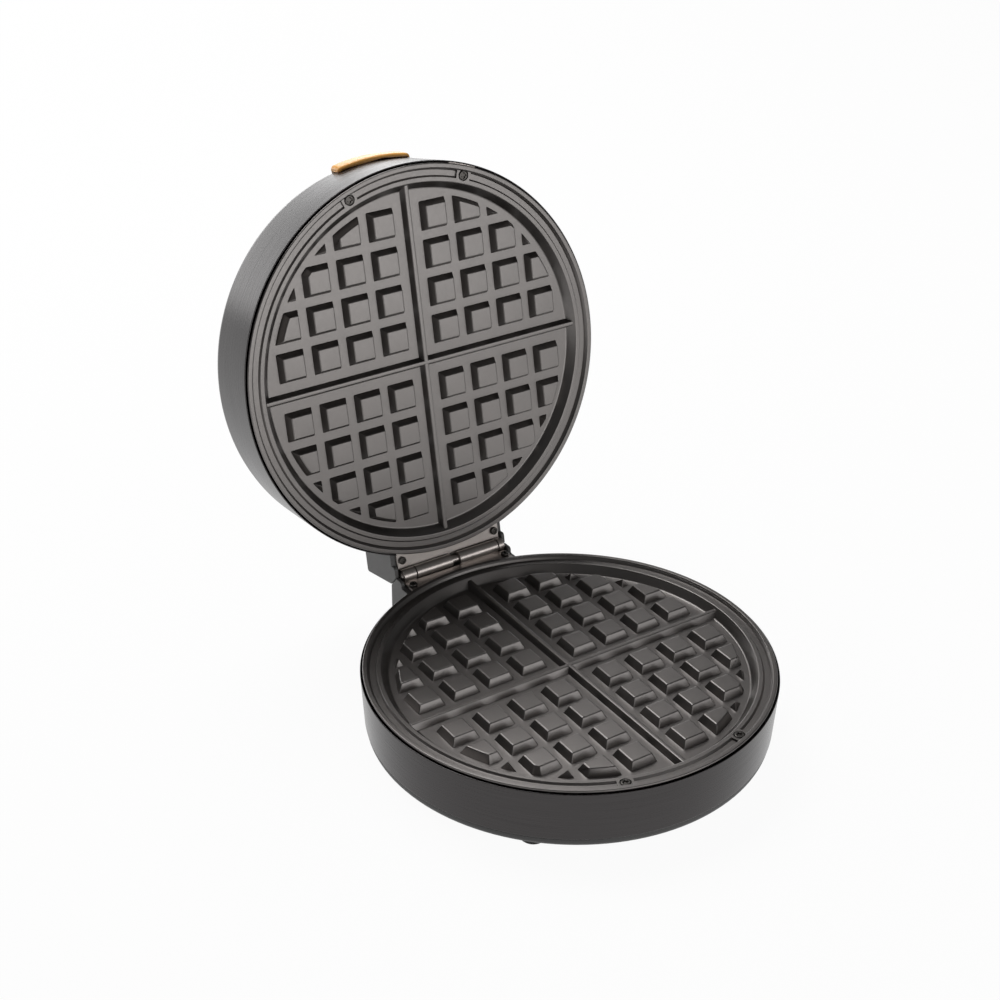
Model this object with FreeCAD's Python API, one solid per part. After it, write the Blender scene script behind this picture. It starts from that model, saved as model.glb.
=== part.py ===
import FreeCAD, Part
import math
import os

# Round waffle maker with four quarter waffles, shown with its lid open on the stop.
# Frame: origin on the table under the middle of the open object's box, +Z up, the front towards -Y,
# the hinge towards +Y. Millimetres.
# Each half is drawn in its own plate frame: z = 0 is the plane of the pocket tops, and -z goes into
# the half. The base lifts its half to the table frame; the lid is its mirror, swung open.

# Overall sizes
HOUSING_R = 102.0
WALL = 0.6
WALL_SLOPE = 0.059
WALL_TOP_Z = -0.4
BASE_WALL_DEPTH = 27.3
LID_DEPTH = 41.0
LID_CORNER_R = 7.0
LID_CROWN = 1.5
FACE_HEIGHT = 35.0
FACE_GAP = 3.1
BOX_MIDDLE_Y = 43.75

# Waffle plate
PITCH = 19.5
POCKET_START = 7.6
POCKET_BASE = 15.0
POCKET_TOP = 11.2
POCKET_HEIGHT = 4.2
POCKET_CHAMFER = 0.45
POCKET_EDGE_GAP = 3.3
POCKETS_PER_SIDE = 4
RIDGE_TOP = 2.2
RIDGE_BASE = 5.0
RIDGE_DROP = 0.9
PLATE_FLOOR = 3.0
PLATE_WALL_RUN = 3.4
LAND_WIDTH = 2.3
LAND_Z = 0.2
GROOVE_WIDTH = 3.9
GROOVE_DEPTH = 1.0
GROOVE_SLOPE = 0.6
RIM_GAP = 0.6
RIM_WIDTH = 2.2
RIM_STEP_RUN = 0.7
RIM_Z = 1.1
RIM_EDGE = 1.2
RIM_ROUND = 0.5
SKIRT_INSET = 1.4
FLANGE_UNDER_Z = -2.6
PAN_WALL = 0.7
PAN_SLOPE = 3.1

# Plate fixings
PLATE_SCREW_INSET = 2.1
PLATE_SCREW_ANGLE = 19.9
SCREW_PAD_HALF = 4.0
HEAD_R = 2.5
HEAD_H = 1.5
SHANK_R = 1.5
HOLE_CLEARANCE = 0.2
THREAD_CLEARANCE = 0.02
COUNTERBORE_DEPTH = 1.2
COUNTERBORE_R = 2.9
BRACKET_SPAN = 4.5
BRACKET_SHEET = 1.2
BRACKET_LEG = 12.8
BRACKET_PAN_GAP = 0.4
PEG_R = 1.5
PEG_LENGTH = 1.4
PEG_CLEARANCE = 0.1

# Reflector pan
REFLECTOR_SHEET = 0.6
REFLECTOR_EDGE_GAP = 1.0
REFLECTOR_PAN_GAP = 0.5
REFLECTOR_SLOPE = 5.5
REFLECTOR_DEPTH = 15.4

# Heating element and what touches the plate's underside
ELEMENT_INSET = 28.3
ELEMENT_TUBE_R = 3.2
ELEMENT_GAP_ANGLE = 24.0
ELEMENT_BEND_R = 8.0
ELEMENT_TAIL = 3.0
TERMINAL_R = 1.5
TERMINAL_LENGTH = 5.0
SEAT_CLEARANCE = 0.05
CLAMP_COUNT = 3
CLAMP_SHEET = 1.0
CLAMP_FOOT = 7.5
CLAMP_SPAN = 4.0
CLAMP_SCREW_R = 1.3
CLAMP_HEAD_R = 2.4
CLAMP_HEAD_H = 1.2
CLAMP_BITE = 2.0
THERMOSTAT_R = 8.0
THERMOSTAT_H = 6.0
THERMOSTAT_BLADE = (5.0, 0.8, 4.0)
FUSE_R = 2.5
FUSE_LENGTH = 26.0
FUSE_Y = -34.0
FUSE_CLIP_SHEET = 0.8
FUSE_CLIP_WIDTH = 8.0
TERMINAL_BLOCK = (30.0, 16.0, 8.0)
TERMINAL_BLOCK_INSET = 10.6
TERMINAL_WAYS = 3
TERMINAL_WAY_R = 2.2

# Bottom cover and feet
COVER_INSET = 0.5
COVER_EDGE = 4.5
COVER_ROUND = 3.0
COVER_SHEET = 2.2
COVER_RIM = 4.3
HOUSING_LIP = 4.2
TAB_BEYOND_SCREW = 6.0
TAB_WIDTH = 14.0
COVER_SCREW_INSET = 5.6
COVER_SCREW_ANGLES = (20.0, 160.0, 200.0, 340.0)
COVER_BOSS_R = 4.2
VENT_COUNT = 7
VENT_ROWS = 3
VENT_WIDTH = 3.0
VENT_LENGTH = 24.0
VENT_PITCH = 8.0
VENT_ROW_PITCH = 34.0
FOOT_R = 6.5
FOOT_ROUND = 1.0
FOOT_RECESS = 1.0
FOOT_STEM_R = 2.5
FOOT_BARB_R = 3.2
FOOT_BARB_H = 2.6
FRONT_FOOT_INSET = 9.4
FRONT_FOOT_ANGLE = 45.0
REAR_FOOT_INSET = 7.7
REAR_FOOT_ANGLE = 17.0

# Hinge
OPEN_ANGLE = 101.4
HINGE_REACH = 6.5
HINGE_RISE = 2.27
KNUCKLE_R = 3.5
PIN_R = 2.0
PIN_END_GAP = 0.6
PIN_CHAMFER = 0.4
PIN_SEAT_CLEARANCE = 0.02
PIN_RUN_CLEARANCE = 0.05
KNUCKLE_RELIEF = 0.4
KNUCKLE_SIDE_GAP = 0.25
KNUCKLE_GAP = 0.5
BASE_COLLAR = 7.4
BASE_COLLAR_END_GAP = 0.6
LID_EAR = 3.3
PIN_WINDOW = (-0.9, 3.6)
LEAF_SHEET = 1.5
LEAF_CHEEK_GAP = 0.8
LEAF_RIM_GAP = 0.3
LEAF_NOTCH_GAP = 0.1
LEAF_SCREW_EDGE = 2.9
LEAF_SCREW_SETBACK = 7.9
LEAF_HEAD_R = 2.1
LEAF_SCREW_BITE = 7.0
BLOCK_HALF = 34.0
CHEEK = 2.0
BLOCK_BACK = 5.2
BLOCK_FIT = 0.1
BLOCK_POCKET_GAP = 0.5
BLOCK_ROUND = 1.6
STOP_CLEARANCE = 0.1
EAR_FRONT = 5.6
EAR_GAP = 0.3
EAR_ROUND = 1.8
BASE_BLOCK_DEPTH = 28.6
LID_BLOCK_DEPTH = 31.8
BLOCK_SCREW_ANGLE = 11.0
BASE_BLOCK_SCREW_Z = -19.0
LID_BLOCK_SCREW_Z = -22.0
BLOCK_SCREW_BITE = 8.0

# Handle, lenses and cord inlet
HANDLE_SPAN = 12.0
HANDLE_REACH = 0.7
HANDLE_DEPTH = 10.0
HANDLE_SIDE = 9.4
HANDLE_TOP_DROP = 1.2
HANDLE_CORNER_R = 2.4
HANDLE_EDGE_R = 1.6
HANDLE_SCREW_ANGLE = 7.0
HANDLE_SCREW_RISE = 2.2
HANDLE_SCREW_BITE = 1.3
HANDLE_HEAD_R = 1.8
HANDLE_HEAD_H = 1.1
HANDLE_SHANK_R = 1.1
LENS_X = 9.0
LENS_INSET = 54.0
LENS_R = 4.6
LENS_RISE = 1.8
LENS_STEM_R = 3.2
LENS_STEM = 5.0
LENS_CLEARANCE = 0.1
LAMP_R = 2.9
LAMP_LENGTH = 13.0
LAMP_TIP_R = 1.7
GROMMET_Z = -14.0
GROMMET_R = 6.0
GROMMET_FLANGE_R = 8.0
GROMMET_FLANGE = 1.6
GROMMET_DEPTH = 6.0
GROMMET_NOSE_R = 3.6
GROMMET_NOSE = 2.4

# Worked-out places: the radii follow from the housing inwards
RIM_OUT_R = HOUSING_R - WALL - RIM_GAP
RIM_IN_R = RIM_OUT_R - RIM_WIDTH
SKIRT_R = RIM_OUT_R - SKIRT_INSET
GROOVE_OUT_R = RIM_IN_R - RIM_STEP_RUN
GROOVE_IN_R = GROOVE_OUT_R - GROOVE_WIDTH
LAND_IN_R = GROOVE_IN_R - LAND_WIDTH
FLOOR_R = LAND_IN_R - PLATE_WALL_RUN
POCKET_LIMIT_R = FLOOR_R - POCKET_EDGE_GAP
PAN_TOP_R = LAND_IN_R + PAN_WALL
PLATE_SCREW_R = GROOVE_OUT_R - PLATE_SCREW_INSET
REFLECTOR_FLANGE_R = SKIRT_R - REFLECTOR_EDGE_GAP
REFLECTOR_WALL_R = PAN_TOP_R + REFLECTOR_PAN_GAP + REFLECTOR_SHEET
REFLECTOR_FLOOR_R = REFLECTOR_WALL_R - REFLECTOR_SLOPE
BRACKET_IN_R = REFLECTOR_WALL_R + BRACKET_PAN_GAP
ELEMENT_R = FLOOR_R - ELEMENT_INSET
HINGE_Y = HOUSING_R + HINGE_REACH
LEAF_HALF = BLOCK_HALF - CHEEK - LEAF_CHEEK_GAP
LEAF_SCREW_X = LEAF_HALF - LEAF_SCREW_EDGE
PIN_LENGTH = 2 * (BLOCK_HALF - CHEEK - PIN_END_GAP)
COLLAR_START = BASE_COLLAR_END_GAP - LEAF_HALF
COLLAR_END = COLLAR_START + BASE_COLLAR
EAR_START = LEAF_HALF - LID_EAR
BASE_KNUCKLES = ((COLLAR_START, COLLAR_END), (PIN_WINDOW[1], EAR_START - KNUCKLE_GAP))
LID_KNUCKLES = ((COLLAR_END + KNUCKLE_GAP, PIN_WINDOW[0]), (EAR_START, LEAF_HALF))
LEAF_SCREW_Y = HINGE_Y - LEAF_SCREW_SETBACK
HANDLE_R = HOUSING_R + HANDLE_REACH
HANDLE_FAR_Z = HANDLE_TOP_DROP - LID_DEPTH
HANDLE_NEAR_Z = HANDLE_FAR_Z + HANDLE_SIDE
HANDLE_SCREW_Z = HANDLE_NEAR_Z - HANDLE_SCREW_RISE
LENS_Y = LENS_INSET - HOUSING_R
FLOOR_Z = -POCKET_HEIGHT
UNDER_Z = FLOOR_Z - PLATE_FLOOR
PAN_BOTTOM_R = PAN_TOP_R - PAN_SLOPE
BRACKET_TOP_Z = FLANGE_UNDER_Z - REFLECTOR_SHEET
REFLECTOR_FLOOR_Z = FLANGE_UNDER_Z - REFLECTOR_DEPTH
ELEMENT_Z = UNDER_Z - ELEMENT_TUBE_R - SEAT_CLEARANCE
COVER_TOP_Z = WALL_TOP_Z - (BASE_WALL_DEPTH - abs(WALL_TOP_Z))
COVER_BOTTOM_Z = COVER_TOP_Z - COVER_EDGE
COVER_FLOOR_Z = COVER_BOTTOM_Z + COVER_SHEET
COVER_R = HOUSING_R - WALL_SLOPE * (WALL_TOP_Z - COVER_TOP_Z) - COVER_INSET
COVER_STEP_R = COVER_R - COVER_RIM
COVER_SCREW_R = COVER_STEP_R - COVER_SCREW_INSET
TAB_R = COVER_SCREW_R - TAB_BEYOND_SCREW
FRONT_FOOT_R = COVER_R - FRONT_FOOT_INSET
REAR_FOOT_R = COVER_R - REAR_FOOT_INSET
TERMINAL_BLOCK_Y = COVER_STEP_R - TERMINAL_BLOCK_INSET - TERMINAL_BLOCK[1] / 2
LID_FACE_HEIGHT = FACE_HEIGHT + FACE_GAP
HINGE_HEIGHT = FACE_HEIGHT + HINGE_RISE
LID_RISE = FACE_GAP - HINGE_RISE
STOP_ANGLE = math.radians(OPEN_ANGLE / 2)
ORIGIN = FreeCAD.Vector(0, 0, 0)
X_AXIS = FreeCAD.Vector(1, 0, 0)
Z_AXIS = FreeCAD.Vector(0, 0, 1)


def outer_r(z):
    """Radius of the housing's outer wall at height z of its half."""
    return HOUSING_R - WALL_SLOPE * (WALL_TOP_Z - z)


def inner_r(z):
    """Radius of the housing's inner wall at height z of its half."""
    return outer_r(z) - WALL


def on_circle(radius, degrees, z=0.0):
    """Point on a circle about the plate's axis; 0 degrees is +X and 90 degrees is the hinge."""
    angle = math.radians(degrees)
    return FreeCAD.Vector(radius * math.cos(angle), radius * math.sin(angle), z)


def polyline_face(points):
    """Flat face inside a closed run of points."""
    return Part.Face(Part.makePolygon(list(points) + [points[0]]))


def section(pairs):
    """Face in the plane y = 0 from (radius, z) pairs."""
    return polyline_face([FreeCAD.Vector(r, 0, z) for r, z in pairs])


def turned(face, degrees=360.0, start=0.0):
    """Solid swept by turning a section about the plate's axis."""
    solid = face.revolve(ORIGIN, Z_AXIS, degrees)
    solid.rotate(ORIGIN, Z_AXIS, start)
    return solid


def cylinder(radius, length, at, along=Z_AXIS):
    """Cylinder that starts at a point and runs along a direction."""
    return Part.makeCylinder(radius, length, at, along)


def box_between(low, high):
    """Box from its lowest to its highest corner."""
    size = FreeCAD.Vector(*high).sub(FreeCAD.Vector(*low))
    return Part.makeBox(size.x, size.y, size.z, FreeCAD.Vector(*low))


def filleted(solid, radius, chooses):
    """Solid with rounded edges, picked by a test on the edge."""
    return solid.makeFillet(radius, [edge for edge in solid.Edges if chooses(edge)])


def edge_runs(edge, axis):
    """True for a straight edge that runs along x, y or z."""
    ends = [vertex.Point for vertex in edge.Vertexes]
    if len(ends) < 2:
        return False
    step = ends[1].sub(ends[0])
    others = [abs(getattr(step, name)) for name in "xyz" if name != axis]
    return abs(getattr(step, axis)) > 1.0 and max(others) < 1e-6


def screw(head_r, head_h, shank_r, length, at, along):
    """Pan-head screw: at is the seat under the head, along points to the tip."""
    head = filleted(
        cylinder(head_r, head_h, ORIGIN, FreeCAD.Vector(0, 0, -1)),
        head_h * 0.4,
        lambda edge: abs(edge.CenterOfMass.z + head_h) < 1e-6,
    )
    slot = head_r * 0.24
    arm = head_r * 0.62
    for half_x, half_y in ((arm, slot), (slot, arm)):
        head = head.cut(box_between((-half_x, -half_y, -head_h), (half_x, half_y, -head_h * 0.5)))
    shank = cylinder(shank_r, length, ORIGIN)
    body = head.fuse(shank)
    body.Placement = FreeCAD.Placement(at, FreeCAD.Rotation(Z_AXIS, along))
    return body


# Waffle plate

def pocket_square(centre_x, centre_y, half, z):
    """Square outline of a pocket stud at height z."""
    corners = ((-half, -half), (half, -half), (half, half), (-half, half))
    points = [FreeCAD.Vector(centre_x + dx, centre_y + dy, z) for dx, dy in corners]
    return Part.makePolygon(points + [points[0]])


def pocket_stud(column, row, sign_x, sign_y):
    """One tapered stud with a small chamfer round its top, rooted below the plate's floor."""
    middle = POCKET_START + POCKET_BASE / 2
    x = sign_x * (middle + column * PITCH)
    y = sign_y * (middle + row * PITCH)
    taper = (POCKET_BASE - POCKET_TOP) / 2 / POCKET_HEIGHT
    root = PLATE_FLOOR / 3
    sections = (
        (POCKET_BASE / 2 + taper * root, FLOOR_Z - root),
        (POCKET_TOP / 2 + taper * POCKET_CHAMFER, -POCKET_CHAMFER),
        (POCKET_TOP / 2 + taper * POCKET_CHAMFER - POCKET_CHAMFER, 0.0),
    )
    wires = [pocket_square(x, y, half, z) for half, z in sections]
    stud = Part.makeLoft(wires, True, True)
    corner = POCKET_BASE / 2 + taper * root
    if math.hypot(abs(x) + corner, abs(y) + corner) < POCKET_LIMIT_R:
        return stud
    # studs at the plate's edge are cut to its round outline with the same taper
    limit = Part.makeCone(
        POCKET_LIMIT_R + taper * root,
        POCKET_LIMIT_R - taper * POCKET_HEIGHT,
        POCKET_HEIGHT + root,
        FreeCAD.Vector(0, 0, FLOOR_Z - root),
    )
    return stud.common(limit)


def pocket_studs():
    """All studs of the four quarters that reach above the plate's floor."""
    studs = []
    for sign_x in (-1, 1):
        for sign_y in (-1, 1):
            for column in range(POCKETS_PER_SIDE):
                for row in range(POCKETS_PER_SIDE):
                    stud = pocket_stud(column, row, sign_x, sign_y)
                    if stud.Solids and stud.BoundBox.ZMax > FLOOR_Z + POCKET_CHAMFER:
                        studs.append(stud)
    return studs


def ridge(degrees):
    """Dividing ridge across the plate, with sloping sides."""
    top_z = -RIDGE_DROP
    slope = (RIDGE_BASE - RIDGE_TOP) / 2 / (top_z - FLOOR_Z)
    root = PLATE_FLOOR / 3
    base_half = RIDGE_BASE / 2 + slope * root
    outline = (
        (-base_half, FLOOR_Z - root),
        (base_half, FLOOR_Z - root),
        (RIDGE_TOP / 2, top_z),
        (-RIDGE_TOP / 2, top_z),
    )
    face = polyline_face([FreeCAD.Vector(x, -LAND_IN_R, z) for x, z in outline])
    bar = face.extrude(FreeCAD.Vector(0, 2 * LAND_IN_R, 0))
    bar.rotate(ORIGIN, Z_AXIS, degrees)
    return bar


def plate_dish():
    """Turned body of the plate: floor, sloping wall, land, rim and underside."""
    rounding = [
        (
            RIM_OUT_R - RIM_ROUND + RIM_ROUND * math.sin(math.radians(angle)),
            RIM_Z - RIM_ROUND + RIM_ROUND * math.cos(math.radians(angle)),
        )
        for angle in (0, 30, 60, 90)
    ]
    return turned(section(
        [
            (0, FLOOR_Z),
            (FLOOR_R, FLOOR_Z),
            (LAND_IN_R, LAND_Z),
            (GROOVE_OUT_R, LAND_Z),
            (RIM_IN_R, RIM_Z),
        ]
        + rounding
        + [
            (RIM_OUT_R, RIM_Z - RIM_EDGE),
            (SKIRT_R, RIM_Z - RIM_EDGE),
            (SKIRT_R, FLANGE_UNDER_Z),
            (PAN_TOP_R, FLANGE_UNDER_Z),
            (PAN_BOTTOM_R, UNDER_Z),
            (0, UNDER_Z),
        ]
    ))


def drip_grooves():
    """Ring groove that catches batter, stopped short of the two front screws."""
    pad = math.degrees(SCREW_PAD_HALF / PLATE_SCREW_R)
    cut = section((
        (GROOVE_IN_R, LAND_Z),
        (GROOVE_IN_R + GROOVE_SLOPE, LAND_Z - GROOVE_DEPTH),
        (GROOVE_OUT_R - GROOVE_SLOPE, LAND_Z - GROOVE_DEPTH),
        (GROOVE_OUT_R, LAND_Z),
    ))
    front = 270.0
    short_span = 2 * (PLATE_SCREW_ANGLE - pad)
    long_span = 360.0 - 2 * (PLATE_SCREW_ANGLE + pad)
    return [
        turned(cut, short_span, front - short_span / 2),
        turned(cut, long_span, front + PLATE_SCREW_ANGLE + pad),
    ]


def front_screw_angles():
    """Directions of the two plate screws near the front."""
    return (270.0 - PLATE_SCREW_ANGLE, 270.0 + PLATE_SCREW_ANGLE)


def rear_peg_angles():
    """Directions of the two locating pegs near the hinge."""
    return (90.0 - PLATE_SCREW_ANGLE, 90.0 + PLATE_SCREW_ANGLE)


def clamp_angles():
    """Directions of the element clamps, the first one towards the front."""
    return [270.0 + 360.0 / CLAMP_COUNT * index for index in range(CLAMP_COUNT)]


def clamp_screw_places():
    """Points on the plate's underside where the clamp screws go in."""
    reach = ELEMENT_TUBE_R + CLAMP_SHEET + CLAMP_FOOT / 2
    return [
        on_circle(ELEMENT_R + side * reach, angle, UNDER_Z)
        for angle in clamp_angles()
        for side in (-1, 1)
    ]


def waffle_plate():
    """Cast plate with studs, ridges, drip groove and holes for its fixings."""
    plate = plate_dish().multiFuse(pocket_studs() + [ridge(0), ridge(90)])
    cuts = drip_grooves()
    for angle in front_screw_angles():
        foot = on_circle(PLATE_SCREW_R, angle, FLANGE_UNDER_Z)
        cuts.append(cylinder(SHANK_R + HOLE_CLEARANCE, LAND_Z - FLANGE_UNDER_Z, foot))
        seat = on_circle(PLATE_SCREW_R, angle, LAND_Z - COUNTERBORE_DEPTH)
        cuts.append(cylinder(COUNTERBORE_R, COUNTERBORE_DEPTH + RIM_Z - LAND_Z, seat))
    for angle in rear_peg_angles():
        foot = on_circle(PLATE_SCREW_R, angle, FLANGE_UNDER_Z)
        depth = PEG_LENGTH - REFLECTOR_SHEET + PEG_CLEARANCE
        cuts.append(cylinder(PEG_R + PEG_CLEARANCE, depth, foot))
    for place in clamp_screw_places():
        cuts.append(cylinder(CLAMP_SCREW_R + THREAD_CLEARANCE, CLAMP_BITE + PEG_CLEARANCE, place))
    return plate.cut(Part.makeCompound(cuts)).removeSplitter()


def plate_screws():
    """Two screws that go through the rim and the reflector into the brackets."""
    seat_z = LAND_Z - COUNTERBORE_DEPTH
    length = seat_z - BRACKET_TOP_Z + 2 * BRACKET_SHEET
    return [
        screw(HEAD_R, HEAD_H, SHANK_R, length, on_circle(PLATE_SCREW_R, angle, seat_z), -Z_AXIS)
        for angle in front_screw_angles()
    ]


def plate_brackets():
    """Four angle brackets welded inside the wall: threaded in front, with pegs at the back."""
    low_z = BRACKET_TOP_Z - BRACKET_LEG
    tab_z = BRACKET_TOP_Z - BRACKET_SHEET
    profile = section((
        (BRACKET_IN_R, BRACKET_TOP_Z),
        (inner_r(BRACKET_TOP_Z), BRACKET_TOP_Z),
        (inner_r(low_z), low_z),
        (inner_r(low_z) - BRACKET_SHEET, low_z),
        (inner_r(tab_z) - BRACKET_SHEET, tab_z),
        (BRACKET_IN_R, tab_z),
    ))
    brackets = []
    for angle in front_screw_angles():
        bracket = turned(profile, 2 * BRACKET_SPAN, angle - BRACKET_SPAN)
        hole = cylinder(SHANK_R + THREAD_CLEARANCE, BRACKET_SHEET, on_circle(PLATE_SCREW_R, angle, tab_z))
        brackets.append(bracket.cut(hole))
    for angle in rear_peg_angles():
        bracket = turned(profile, 2 * BRACKET_SPAN, angle - BRACKET_SPAN)
        peg = cylinder(PEG_R, PEG_LENGTH, on_circle(PLATE_SCREW_R, angle, BRACKET_TOP_Z))
        brackets.append(bracket.fuse(peg))
    return brackets


# Heating

def element_end_angle(side):
    """Direction of one end of the open element ring; side is -1 or 1."""
    return 90.0 + side * ELEMENT_GAP_ANGLE / 2


def element_end(side):
    """Start of the tube's tail: the end of the ring after it has bent away from the plate."""
    angle = math.radians(element_end_angle(side))
    tangent = FreeCAD.Vector(math.sin(angle), -math.cos(angle), 0) * side
    start = on_circle(ELEMENT_R, element_end_angle(side), ELEMENT_Z)
    return start, tangent


def element():
    """Sheathed tube bent to an open ring, with its two cold ends turned away from the plate."""
    first, first_tangent = element_end(1)
    last, last_tangent = element_end(-1)
    quarter = math.sin(math.radians(45))

    def bend(start, tangent):
        middle = start + tangent * (ELEMENT_BEND_R * quarter) - Z_AXIS * (ELEMENT_BEND_R * (1 - quarter))
        end = start + tangent * ELEMENT_BEND_R - Z_AXIS * ELEMENT_BEND_R
        return middle, end

    first_middle, first_end = bend(first, first_tangent)
    last_middle, last_end = bend(last, last_tangent)
    tail = Z_AXIS * ELEMENT_TAIL
    path = Part.Wire([
        Part.LineSegment(first_end - tail, first_end).toShape(),
        Part.Arc(first_end, first_middle, first).toShape(),
        Part.Arc(first, on_circle(ELEMENT_R, 270.0, ELEMENT_Z), last).toShape(),
        Part.Arc(last, last_middle, last_end).toShape(),
        Part.LineSegment(last_end, last_end - tail).toShape(),
    ])
    circle = Part.Wire([Part.Circle(first_end - tail, Z_AXIS, ELEMENT_TUBE_R).toShape()])
    tube = path.makePipeShell([circle], True, False)
    pins = [
        cylinder(TERMINAL_R, TERMINAL_LENGTH, end - tail, -Z_AXIS) for end in (first_end, last_end)
    ]
    return tube.multiFuse(pins)


def element_tail_places():
    """Points where the element's tails go through the reflector's floor."""
    places = []
    for side in (-1, 1):
        start, tangent = element_end(side)
        place = start + tangent * ELEMENT_BEND_R
        places.append(FreeCAD.Vector(place.x, place.y, REFLECTOR_FLOOR_Z - REFLECTOR_SHEET))
    return places


def half_disc(radius):
    """Half disc below the middle of the element's tube, in the plane y = 0."""
    centre = FreeCAD.Vector(ELEMENT_R, 0, ELEMENT_Z)
    left = centre - X_AXIS * radius
    right = centre + X_AXIS * radius
    return Part.Face(Part.Wire([
        Part.Arc(left, centre - Z_AXIS * radius, right).toShape(),
        Part.LineSegment(right, left).toShape(),
    ]))


def element_clamps():
    """Saddle straps that press the tube against the plate."""
    inner = ELEMENT_TUBE_R + SEAT_CLEARANCE
    outer = inner + CLAMP_SHEET
    reach = outer + CLAMP_FOOT
    saddle = turned(section((
        (ELEMENT_R - outer, ELEMENT_Z),
        (ELEMENT_R - outer, UNDER_Z - CLAMP_SHEET),
        (ELEMENT_R - reach, UNDER_Z - CLAMP_SHEET),
        (ELEMENT_R - reach, UNDER_Z),
        (ELEMENT_R + reach, UNDER_Z),
        (ELEMENT_R + reach, UNDER_Z - CLAMP_SHEET),
        (ELEMENT_R + outer, UNDER_Z - CLAMP_SHEET),
        (ELEMENT_R + outer, ELEMENT_Z),
    )), 2 * CLAMP_SPAN, -CLAMP_SPAN)
    bow = turned(half_disc(outer), 2 * CLAMP_SPAN, -CLAMP_SPAN)
    channel = turned(half_disc(inner), 2 * CLAMP_SPAN, -CLAMP_SPAN)
    throat = turned(section((
        (ELEMENT_R - inner, ELEMENT_Z),
        (ELEMENT_R - inner, UNDER_Z),
        (ELEMENT_R + inner, UNDER_Z),
        (ELEMENT_R + inner, ELEMENT_Z),
    )), 2 * CLAMP_SPAN, -CLAMP_SPAN)
    strap = saddle.fuse(bow).cut(channel.fuse(throat)).removeSplitter()
    middle = outer + CLAMP_FOOT / 2
    for side in (-1, 1):
        foot = FreeCAD.Vector(ELEMENT_R + side * middle, 0, UNDER_Z - CLAMP_SHEET)
        strap = strap.cut(cylinder(CLAMP_SCREW_R + HOLE_CLEARANCE, CLAMP_SHEET, foot))
    straps = []
    for angle in clamp_angles():
        copy = strap.copy()
        copy.rotate(ORIGIN, Z_AXIS, angle)
        straps.append(copy)
    return straps


def clamp_screws():
    """Screws of the element clamps."""
    down = -Z_AXIS * CLAMP_SHEET
    length = CLAMP_SHEET + CLAMP_BITE
    return [
        screw(CLAMP_HEAD_R, CLAMP_HEAD_H, CLAMP_SCREW_R, length, place + down, Z_AXIS)
        for place in clamp_screw_places()
    ]


def reflector():
    """Sheet pan under the element, clamped by its flange between the plate and the brackets."""
    sheet = REFLECTOR_SHEET
    pan = turned(section((
        (REFLECTOR_FLANGE_R, FLANGE_UNDER_Z),
        (REFLECTOR_FLANGE_R, FLANGE_UNDER_Z - sheet),
        (REFLECTOR_WALL_R, FLANGE_UNDER_Z - sheet),
        (REFLECTOR_FLOOR_R, REFLECTOR_FLOOR_Z - sheet),
        (0, REFLECTOR_FLOOR_Z - sheet),
        (0, REFLECTOR_FLOOR_Z),
        (REFLECTOR_FLOOR_R - sheet, REFLECTOR_FLOOR_Z),
        (REFLECTOR_WALL_R - sheet, FLANGE_UNDER_Z - sheet),
        (REFLECTOR_WALL_R - sheet, FLANGE_UNDER_Z),
    )))
    cuts = [
        cylinder(ELEMENT_TUBE_R + CLAMP_SHEET, 2 * sheet, place) for place in element_tail_places()
    ]
    for angle in front_screw_angles() + rear_peg_angles():
        foot = on_circle(PLATE_SCREW_R, angle, FLANGE_UNDER_Z - sheet)
        cuts.append(cylinder(SHANK_R + HOLE_CLEARANCE, sheet, foot))
    return pan.cut(Part.makeCompound(cuts))


def thermostat():
    """Bimetal disc thermostat against the middle of the plate, with two blade terminals."""
    body = cylinder(THERMOSTAT_R, THERMOSTAT_H, FreeCAD.Vector(0, 0, UNDER_Z), -Z_AXIS)
    long_x, thick_y, high_z = THERMOSTAT_BLADE
    low_z = UNDER_Z - THERMOSTAT_H
    for side in (-1, 1):
        y = side * THERMOSTAT_R / 2
        blade = box_between(
            (-long_x / 2, y - thick_y / 2, low_z - high_z), (long_x / 2, y + thick_y / 2, low_z)
        )
        body = body.fuse(blade)
    return body


def thermal_fuse():
    """Sleeved one-shot fuse lying against the plate's underside."""
    start = FreeCAD.Vector(-FUSE_LENGTH / 2, FUSE_Y, UNDER_Z - FUSE_R - SEAT_CLEARANCE)
    return cylinder(FUSE_R, FUSE_LENGTH, start, X_AXIS)


def fuse_clip():
    """Spring clip that holds the fuse to the plate's underside."""
    half = FUSE_CLIP_WIDTH / 2
    reach = FUSE_R + SEAT_CLEARANCE
    outer = reach + FUSE_CLIP_SHEET
    low_z = UNDER_Z - 2 * reach
    clip = box_between((-half, FUSE_Y - outer, low_z - FUSE_CLIP_SHEET), (half, FUSE_Y + outer, UNDER_Z))
    return clip.cut(box_between((-half, FUSE_Y - reach, low_z), (half, FUSE_Y + reach, UNDER_Z)))


def terminal_block():
    """Block on the bottom cover where the supply and the two elements are joined."""
    length, width, height = TERMINAL_BLOCK
    low = (-length / 2, TERMINAL_BLOCK_Y - width / 2, COVER_FLOOR_Z)
    high = (length / 2, TERMINAL_BLOCK_Y + width / 2, COVER_FLOOR_Z + height)
    block = box_between(low, high)
    for way in range(TERMINAL_WAYS):
        x = -length / 2 + (way + 0.5) * length / TERMINAL_WAYS
        bore = FreeCAD.Vector(x, low[1], COVER_FLOOR_Z + height / 2)
        block = block.cut(cylinder(TERMINAL_WAY_R, width, bore, FreeCAD.Vector(0, 1, 0)))
    return block


# Housings

def radial_screw_places(angle, spread, z):
    """Pairs of (seat point, outward direction) on the inner wall, either side of a direction."""
    places = []
    for side in (-1, 1):
        outward = on_circle(1.0, angle + side * spread)
        seat = on_circle(inner_r(z) - HOLE_CLEARANCE, angle + side * spread, z)
        places.append((seat, outward))
    return places


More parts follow.
